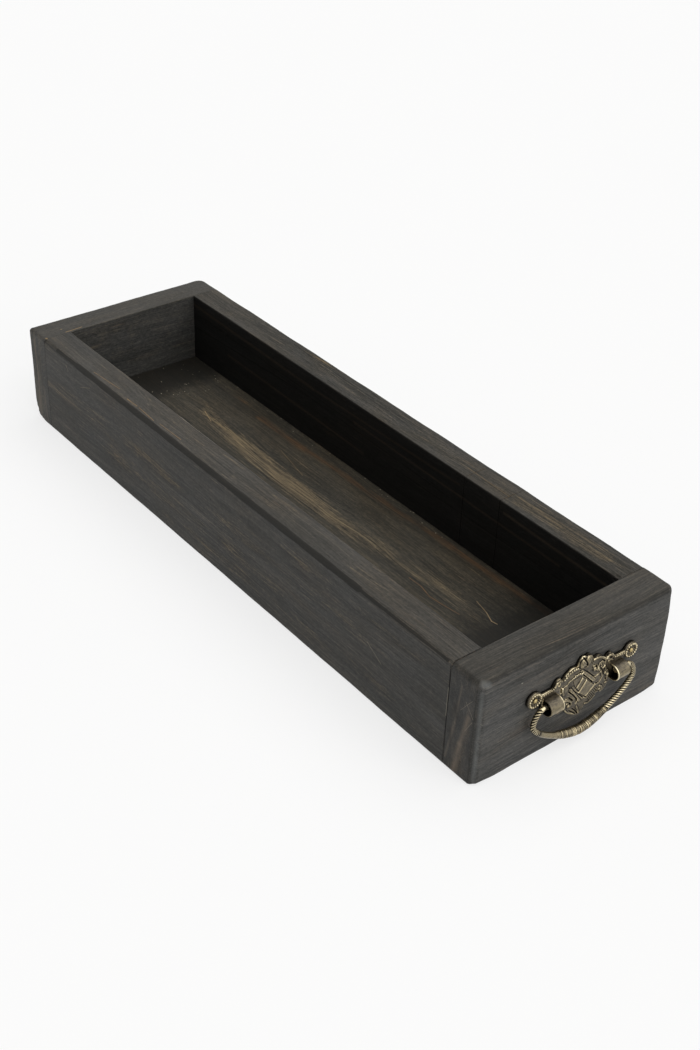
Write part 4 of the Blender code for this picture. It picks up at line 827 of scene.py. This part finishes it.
hoodLook = {
    "middle": 4.1, "floor": 1.9, "segments": 28, "rimAt": 18.3, "web": (21.2, 22.8), "webRadius": 3.45,
    "stations": [  # distance along Y, outer and inner radius
        (18.0, 4.05, 3.65), (18.07, 4.25, 3.52), (18.2, 4.37, 3.42), (18.45, 4.42, 3.4), (18.75, 4.38, 3.4),
        (18.95, 4.3, 3.4), (19.1, 4.27, 3.4), (20.5, 4.25, 3.4), (22.0, 4.27, 3.4), (24.0, 4.26, 3.4),
        (25.6, 4.27, 3.4), (26.0, 4.33, 3.4), (26.25, 4.28, 3.45), (26.4, 4.1, 3.6),
    ],
}


def archPath(radius, look):
    middle, floor = look["middle"], look["floor"]
    turns = np.linspace(-math.pi / 2, math.pi / 2, look["segments"] + 1)
    arc = [(middle + radius * math.cos(a), radius * math.sin(a)) for a in turns]
    between = (floor + middle) / 2
    return [(floor, -radius), (between, -radius), *arc, (between, radius), (floor, radius)]


def buildHood(side, look):
    bm = bmesh.new()
    layer = bm.verts.layers.float.new("rubAndPaintedLight")

    def arch(along, radius, rubAndPaintedLight, paintedLightSlope=0.0, more=0.0):
        loop = [bm.verts.new((x, side * along, z)) for x, z in archPath(radius, look)]
        for vert in loop:
            # The slope is painted light: the outer skin is painted darker towards its top for shade and brighter
            # towards its bottom for the floor's reflection.
            vert[layer] = rubAndPaintedLight - paintedLightSlope * vert.co.z / radius + more
        return loop

    loops = []
    for along, outer, inner in look["stations"]:
        rimShare = ease(1 - abs(along - look["rimAt"]) / 0.5) * 0.6
        loops.append((arch(along, outer, 0.6, 0.2, rimShare), arch(along, inner, 0.12 + 0.5 * rimShare)))
    count = len(loops[0][0])
    for (outerA, innerA), (outerB, innerB) in zip(loops, loops[1:]):
        for i in range(count - 1):
            bm.faces.new((outerA[i], outerA[i + 1], outerB[i + 1], outerB[i]))
            bm.faces.new((innerA[i + 1], innerA[i], innerB[i], innerB[i + 1]))
        for i in (0, count - 1):
            bm.faces.new((outerA[i], outerB[i], innerB[i], innerA[i]))
    for outer, inner in (loops[0], loops[-1]):
        for i in range(count - 1):
            bm.faces.new((outer[i], outer[i + 1], inner[i + 1], inner[i]))
    web = [arch(along, look["webRadius"], 0.1) for along in look["web"]]
    for i in range(count):
        j = (i + 1) % count
        bm.faces.new((web[0][i], web[0][j], web[1][j], web[1][i]))
    for loop in web:
        bm.faces.new(loop)
    bmesh.ops.recalc_face_normals(bm, faces=bm.faces)
    return bm


# Trees that follow a path: strands wound round it, and a row of cast beads on it


def newPathTree(name, sizes):
    tree = bpy.data.node_groups.new(name, "GeometryNodeTree")
    tree.interface.new_socket(name="Path", in_out="INPUT", socket_type="NodeSocketGeometry")
    for title, value in sizes.items():
        kind = {int: "Int", float: "Float"}.get(type(value), "Material")
        socket = tree.interface.new_socket(name=title, in_out="INPUT", socket_type="NodeSocket" + kind)
        if value is not None:
            socket.default_value = value
    tree.interface.new_socket(name="Made", in_out="OUTPUT", socket_type="NodeSocketGeometry")
    add = partial(addNode, tree)
    given = add("NodeGroupInput", output=None).outputs
    return tree, add, given, add("GeometryNodeMeshToCurve", (given["Path"],))


def closeTree(add, made, finish):
    made = add("GeometryNodeRealizeInstances", {"Geometry": made})
    add("NodeGroupOutput", {"Made": add("GeometryNodeSetMaterial", {"Geometry": made, "Material": finish})})


def buildStrandTree():
    tree, add, given, path = newPathTree("woundStrands", {
        "Strands": 3, "Lay Length": 0.007, "Strand Share": 0.5, "Step": 0.0003, "Sides": 10, "Unevenness": 0.0,
        "Seed": 3.0, "Finish": None,
    })
    lay = given["Lay Length"]
    path = add("GeometryNodeResampleCurve", {"Curve": path, "Length": given["Step"]}, mode="LENGTH")
    strands = {"Geometry": path, "Amount": given["Strands"]}
    strands = add("GeometryNodeDuplicateElements", strands, None, domain="SPLINE")
    turns = add("Math:DIVIDE", (add("GeometryNodeSplineParameter", output="Length"), lay))
    start = add("Math:DIVIDE", (strands.outputs["Duplicate Index"], given["Strands"]))
    angle = add("Math:MULTIPLY", (add("Math:ADD", (turns, start)), 2 * math.pi))
    chance = add("Math:MULTIPLY_ADD", (turns, 0.45, given["Seed"]))
    chance = add("TexNoise", {"W": chance, "Scale": 1.0, "Detail": 2.0}, noise_dimensions="1D")
    chance = add("Math:MULTIPLY", (add("Math:SUBTRACT", (chance, 0.5)), given["Unevenness"]))
    radius = add("GeometryNodeInputNamedAttribute", {"Name": "ropeRadius"}, "Attribute", data_type="FLOAT")
    thick = add("Math:MULTIPLY", (radius, given["Strand Share"]))
    reach = add("Math:SUBTRACT", (radius, thick))
    thick = add("Math:MULTIPLY", (thick, add("Math:ADD", (chance, 1.0))))
    tangent = add("GeometryNodeInputTangent")
    out = {"Vector": add("GeometryNodeInputNormal"), "Axis": tangent, "Angle": angle}
    out = add("VectorMath:SCALE", {0: add("VectorRotate", out, rotation_type="AXIS_ANGLE"), "Scale": reach})
    slide = add("VectorMath:SCALE", {0: tangent, "Scale": add("Math:MULTIPLY", (chance, lay))})
    out = add("VectorMath:ADD", (out, slide))
    wound = add("GeometryNodeSetPosition", {"Geometry": strands.outputs["Geometry"], "Offset": out})
    ring = add("GeometryNodeCurvePrimitiveCircle", {"Radius": 1.0, "Resolution": given["Sides"]})
    made = {"Curve": wound, "Profile Curve": ring, "Scale": thick, "Fill Caps": True}
    closeTree(add, add("GeometryNodeCurveToMesh", made), given["Finish"])
    return tree


def buildBeadTree():
    sizes = {"Spacing": 0.001, "Bead Radius": 0.0005, "Seed": 5, "Finish": None}
    tree, add, given, path = newPathTree("beadRow", sizes)
    path = add("GeometryNodeCurveToPoints", {"Curve": path, "Length": given["Spacing"]}, mode="LENGTH")
    bead = add("GeometryNodeMeshIcoSphere", {"Radius": 1.0, "Subdivisions": 2})
    size = add("FunctionNodeRandomValue", {2: 0.88, 3: 1.08, "Seed": given["Seed"]}, 1, data_type="FLOAT")
    size = add("Math:MULTIPLY", (size, given["Bead Radius"]))
    beads = add("GeometryNodeInstanceOnPoints", {"Points": path, "Instance": bead, "Scale": size})
    closeTree(add, beads, given["Finish"])
    return tree


def growAlong(name, tree, path, values, closed=False, radius=None):
    path = np.asarray(path)
    edges = [(i, i + 1) for i in range(len(path) - 1)] + ([(len(path) - 1, 0)] if closed else [])
    guide = bpy.data.meshes.new(name)
    guide.from_pydata((path * mm).tolist(), edges, [])
    if radius is not None:
        setLayer(guide, "ropeRadius", np.asarray(radius, np.float32) * mm)
    carrier = newObject(name, guide)
    grow = carrier.modifiers.new(name, "NODES")
    grow.node_group = tree
    for item in tree.interface.items_tree:
        if item.in_out == "INPUT" and item.name in values:
            grow[item.identifier] = values[item.name]
    made = bpy.data.meshes.new_from_object(carrier.evaluated_get(bpy.context.evaluated_depsgraph_get()))
    carrier.modifiers.remove(grow)
    bpy.data.objects.remove(carrier)
    return made


def meshPoints(mesh):
    flat = np.zeros(len(mesh.vertices) * 3)
    mesh.vertices.foreach_get("co", flat)
    return flat.reshape(-1, 3)


def antiqueBronze(name, look):  # dark patina left in the hollows, warm metal where the high places are rubbed; the rub values also carry painted shade and reflection on the hoods and on the plate's side wall
    material, add = newMaterial(name)
    inMm = add("VectorMath:SCALE", {0: add("TexCoord", output="Object"), "Scale": 1 / mm})
    clouds = add("TexNoise", {"Vector": inMm, "Scale": 0.45, "Detail": 4.0, "Roughness": 0.6})
    grit = add("TexNoise", {"Vector": inMm, "Scale": 3.2, "Detail": 3.0, "Roughness": 0.7})
    brushed = add("Mapping", {"Vector": inMm, "Scale": (3.5, 0.22, 3.5)})
    brushed = add("TexNoise", {"Vector": brushed, "Scale": 1.0, "Detail": 3.0})
    total = add("Attribute", output="Fac", attribute_name="rubAndPaintedLight")
    for source, weight in ((clouds, look["clouds"]), (grit, look["grit"]), (brushed, look["brushed"])):
        total = add("Math:MULTIPLY_ADD", (add("Math:SUBTRACT", (source, 0.5)), weight, total))
    colour = add("ValToRGB", (total,), stops=look["tones"])
    rough = add("MapRange", (total, 0.0, 1.0, look["roughDark"], look["roughBright"]))
    relief = add("Math:MULTIPLY_ADD", (brushed, 0.5, grit))
    bump = add("Bump", {"Height": relief, "Strength": 0.35, "Distance": 0.00006})
    shader = {"Base Color": colour, "Roughness": rough, "Normal": bump, "Metallic": look["metallic"]}
    add("OutputMaterial", {"Surface": add("BsdfPrincipled", shader)})
    return material


bronzeTones = [
    (0.04, "#0e0c09"), (0.24, "#2a2620"), (0.4, "#565046"), (0.56, "#756c58"), (0.78, "#aa9c7c"), (1.0, "#ddd2b2"),
]
bronzeLooks = {
    "plate": {"clouds": 0.5, "grit": 0.35, "brushed": 0.3, "tones": bronzeTones,
              "roughDark": 0.55, "roughBright": 0.3, "metallic": 0.95},
    "bail": {"clouds": 0.4, "grit": 0.9, "brushed": 0.0, "tones": bronzeTones,
             "roughDark": 0.45, "roughBright": 0.22, "metallic": 0.95},
    "pin": {"clouds": 0.3, "grit": 0.2, "brushed": 0.0, "tones": [(0.0, "#a5946a"), (0.3, "#c6b687"), (1.0, "#e6d8ae")],
            "roughDark": 0.45, "roughBright": 0.25, "metallic": 1.0},
}
plateBronze = antiqueBronze("antique_bronze_plate", bronzeLooks["plate"])  # cast, dull brown in its hollows
bailBrass = antiqueBronze("aged_brass_bail", bronzeLooks["bail"])  # gritty cast rope, bright where it is held
pinBrass = antiqueBronze("brass_pin_heads", bronzeLooks["pin"])  # turned domes, nearly clean
strandTree = buildStrandTree()
beadTree = buildBeadTree()

beadRows = [  # spacing, bead radius, then the path in the plate's own plane
    (1.0, 0.46, (-11.0, 6.2, -10.0, 7.2, -8.6, 7.5, -7.0, 8.1, -5.4, 8.7, -3.6, 8.8, -2.6, 8.7)),
    (1.2, 0.62, (-13.9, 10.0, -12.6, 11.2, -11.0, 12.3, -9.2, 13.1, -7.4, 13.4, -5.6, 13.0)),
    (1.15, 0.55, (-28.0, 6.9, -25.6, 6.9, -23.0, 7.1, -20.6, 7.6)),
    (1.15, 0.55, (28.0, 6.9, 25.6, 6.9, 23.0, 7.1, 20.6, 7.6)),
]
beadRing = {"radius": 3.6, "points": 48, "spacing": 1.34, "bead": 0.66, "sunk": 0.05}


def joinShapes(name, parts):  # meshes in metres and bmeshes in mm, each with its rub values kept
    whole = bmesh.new()
    whole.verts.layers.float.new("rubAndPaintedLight")
    for part in parts:
        if isinstance(part, bmesh.types.BMesh):
            bmesh.ops.scale(part, vec=(mm, mm, mm), verts=part.verts)
            shape = bpy.data.meshes.new("shape")
            part.to_mesh(shape)
            part.free()
            part = shape
        whole.from_mesh(part)
        bpy.data.meshes.remove(part)
    mesh = bpy.data.meshes.new(name)
    whole.to_mesh(mesh)
    whole.free()
    mesh.shade_smooth()
    return mesh


def placedCopy(mesh, name, way, shift, lift, out):  # onto the right end, or turned half round onto the left end
    copy = mesh.copy()
    copy.name = name
    turn = Matrix.Rotation(0 if way > 0 else math.pi, 4, "Z")
    place = Vector((way * tray["length"] / 2, shift, handleLook["height"])) * mm
    copy.transform(Matrix.Translation(place) @ turn @ Matrix.Translation(Vector((out, 0, lift)) * mm))
    return copy


def buildPlate():
    parts = [buildPlateFront(handleLook), buildHood(-1, hoodLook), buildHood(1, hoodLook)]
    rows = [(spacing, radius, np.reshape(path, (-1, 2)), False) for spacing, radius, path in beadRows]
    turns = np.arange(beadRing["points"]) * math.pi / (beadRing["points"] / 2)
    for side in (-1, 1):
        ring = [(side * handleLook["pinY"] + beadRing["radius"] * math.cos(a),
                 handleLook["pinZ"] + beadRing["radius"] * math.sin(a)) for a in turns]
        rows.append((beadRing["spacing"], beadRing["bead"], np.array(ring), True))
    for spacing, radius, flat, closed in rows:
        lift = plateHeight(flat, handleLook)
        values = {"Spacing": spacing * mm, "Bead Radius": radius * mm, "Finish": plateBronze}
        beads = growAlong("castBeads", beadTree, np.column_stack([lift - beadRing["sunk"], flat]), values, closed)
        setLayer(beads, "rubAndPaintedLight", 0.3 + 0.6 * ease((meshPoints(beads)[:, 0] / mm - lift.mean()) / 0.5))
        parts.append(beads)
    return joinShapes("castPlate", parts)


plateMesh = buildPlate()
print("handle plate built,", len(plateMesh.polygons), "faces")

bailLook = {
    "axisOut": 4.1, "axisRise": 0.7, "pinEnd": 20.0, "pinRadius": 1.4, "corner": 28.0, "halfSpan": 33.7, "drop": 26.3,
    "shoulder": 8.8, "bow": 0.3, "bowPower": 4, "acrossPower": 1.64, "dropPower": 1.36, "gripHalf": 16.7,
    "gripEnd": 2.0, "gripMiddle": 2.6, "arm": 1.45, "neck": 1.8, "ropeLay": 5.8, "ropeFrom": 27.2, "wirePitch": 0.76,
    "smoothFrom": 12.3, "wrapStart": -14.4, "bandHalf": 0.9,
    "bands": (  # place along the grip and pitch of each thicker group of turns
        (-14.0, 0.9), (-11.2, 0.95), (-6.1, 0.9), (-4.9, 0.95), (-1.4, 0.9), (3.6, 0.9), (4.9, 0.95), (9.3, 0.9),
        (15.6, 1.0),
    ),
    "mostRub": {"band": 0.76, "grip": 0.63, "arm": 0.88},
    "lug": {"size": (2.0, 1.2, 1.3), "out": -0.9, "along": 23.8, "rise": -0.5, "lean": -25},  # stop inside the hood
}


def bailPath(look):
    half = [(look["pinEnd"], 0.0), (24.0, 0.0), (26.0, 0.0), (27.0, 0.0)]
    for a in np.linspace(0, math.pi / 2, 15)[:-1]:
        across = look["corner"] + (look["halfSpan"] - look["corner"]) * math.sin(a)
        half.append((across, look["shoulder"] * (1 - math.cos(a))))
    for a in np.linspace(0, math.pi / 2, 80):
        across = look["halfSpan"] * max(math.cos(a), 0.0) ** (2 / look["acrossPower"])
        below = (look["drop"] - look["shoulder"]) * math.sin(a) ** (2 / look["dropPower"])
        half.append((across, look["shoulder"] + below))
    path = half + [(-y, drop) for y, drop in reversed(half[:-1])]
    return np.array([(look["bow"] * (drop / look["drop"]) ** look["bowPower"], y, -drop) for y, drop in path])


def bailRadii(path, look):  # nominal, core and rope radius at each point
    y, drop = path[:, 1], -path[:, 2]
    share = np.clip(np.abs(y) / look["gripHalf"], 0, 1)
    grip = look["gripMiddle"] + (look["gripEnd"] - look["gripMiddle"]) * share**2
    share = np.clip((np.abs(y) - look["gripHalf"]) / (look["halfSpan"] - look["gripHalf"]), 0, 1)
    arm = look["neck"] + (look["arm"] - look["neck"]) * share
    onGrip = np.abs(y) <= look["gripHalf"]
    nominal = np.where(drop < 0.9, look["pinRadius"], np.where(onGrip, grip, arm))
    wrapped = onGrip & (y > look["wrapStart"])
    smoothShare = ease((drop - look["smoothFrom"]) / 3.0) * (y < 0) * ~wrapped
    core = np.where(wrapped, grip - 0.42, nominal * (0.68 + 0.3 * smoothShare))
    return nominal, np.where(drop < 0.3, look["pinRadius"], core), nominal * (1.0 - 0.05 * smoothShare)


def buildBail(look):
    path = bailPath(look)
    nominal, core, rope = bailRadii(path, look)
    drop, y = -path[:, 2], path[:, 1]
    parts = []

    def wind(name, where, radius, strands, share, step, sides, **more):
        values = {"Strands": strands, "Strand Share": share, "Step": step * mm, "Sides": sides, "Finish": bailBrass}
        parts.append(growAlong(name, strandTree, path[where], {**values, **more}, radius=radius[where]))

    wind("bailCore", y < np.inf, core, 1, 1.0, 0.4, 20)
    for side in (1, -1):
        arm = (side * y > look["gripHalf"] - 0.6) & ((side * y > look["ropeFrom"]) | (drop > 3))
        wind("bailRope", arm, rope, 4, 0.4, 0.28, 12, **{"Lay Length": look["ropeLay"] * mm})
    grip = (y > look["wrapStart"] - 0.4) & (y <= look["gripHalf"] + 0.4)
    wire = {"Lay Length": look["wirePitch"] * mm, "Unevenness": 0.9, "Seed": 4.0}
    wind("gripWire", grip, nominal, 1, 0.16, look["wirePitch"] / 14, 7, **wire)
    for place, pitch in look["bands"]:
        band = np.abs(y - place) < look["bandHalf"]
        wind("gripBand", band, nominal * 1.03, 1, 0.17, 0.05, 8, **{"Lay Length": pitch * mm, "Unevenness": 0.5})
    tree = kdtree.KDTree(len(path))
    for i, p in enumerate(path):
        tree.insert(p * mm, i)
    tree.balance()
    for part in parts:
        rubAndPaintedLight, most = [], []
        for p in meshPoints(part):
            i = tree.find(p)[1]
            j = i + 1 if i + 1 < len(path) else i - 1
            way = (path[j] - path[i]) * mm
            away = p - path[i] * mm
            away = away - way * (away @ way) / max(way @ way, 1e-12)
            rubAndPaintedLight.append((np.linalg.norm(away) / mm / nominal[i] - 0.85) / 0.15)
            onGrip = -path[i][2] > look["smoothFrom"] + 1.5 and path[i][1] < look["gripHalf"]
            most.append(look["mostRub"]["band" if "gripBand" in part.name else "grip" if onGrip else "arm"])
        setLayer(part, "rubAndPaintedLight", np.clip(0.02 + np.array(most) * ease(np.array(rubAndPaintedLight)) ** 1.5, 0, 1))
    lugs, lug = bmesh.new(), look["lug"]
    layer = lugs.verts.layers.float.new("rubAndPaintedLight")
    for side in (-1, 1):
        place = Matrix.Translation((lug["out"], side * lug["along"], lug["rise"]))
        place = place @ Matrix.Rotation(math.radians(lug["lean"]), 4, "Y") @ Matrix.Diagonal((*lug["size"], 1.0))
        made = bmesh.ops.create_cube(lugs, size=1.0, matrix=place)
        edges = {e for v in made["verts"] for e in v.link_edges}
        bmesh.ops.bevel(lugs, geom=list(edges), offset=0.25, segments=2, affect="EDGES")
    for vert in lugs.verts:
        vert[layer] = 0.2
    parts.append(lugs)
    return joinShapes("castBail", parts)


bailMesh = buildBail(bailLook)
print("bail built,", len(bailMesh.polygons), "faces")

for endName, way, shift in (("right", 1, handleLook["rightShift"]), ("left", -1, handleLook["leftShift"])):
    for part, mesh, finish, body, slotName, lift, out in (
        ("plate", plateMesh, plateBronze, "tray", "antique_bronze", 0, 0),
        ("bail", bailMesh, bailBrass, endName + "_bail", "aged_brass_bail", bailLook["axisRise"], bailLook["axisOut"]),
    ):
        name = endName + {"plate": "_cast_plate", "bail": "_rope_bail"}[part]
        mesh = placedCopy(mesh, name, way, shift, lift, out)
        showPiece(name, mesh, finish, body, slotName, endName + "_handle_" + part)
print("handles placed")

beechLook = {"tones": [(0.3, "#a98457"), (0.7, "#c9a677")], "roughness": 0.6, "flecks": (90.0, 1400.0, 1400.0)}


def beechWood(name, look):  # pale turned beech, short flecks along the dowel
    material, add = newMaterial(name)
    place = add("Mapping", {"Vector": add("TexCoord", output="Object"), "Scale": look["flecks"]})
    flecks = add("TexNoise", {"Vector": place, "Scale": 1.0, "Detail": 4.0})
    colour = add("ValToRGB", (flecks,), stops=look["tones"])
    bump = add("Bump", {"Height": flecks, "Strength": 0.4, "Distance": 0.0001})
    shader = {"Base Color": colour, "Normal": bump, "Roughness": look["roughness"]}
    add("OutputMaterial", {"Surface": add("BsdfPrincipled", shader)})
    return material


beech = beechWood("beech_dowel_wood", beechLook)
for name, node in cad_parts.items():
    if "dowel" in name:
        node.material_slots[0].material = beech
    elif name.endswith("_pin"):
        node.material_slots[0].material = pinBrass
print("dowels and pins finished")
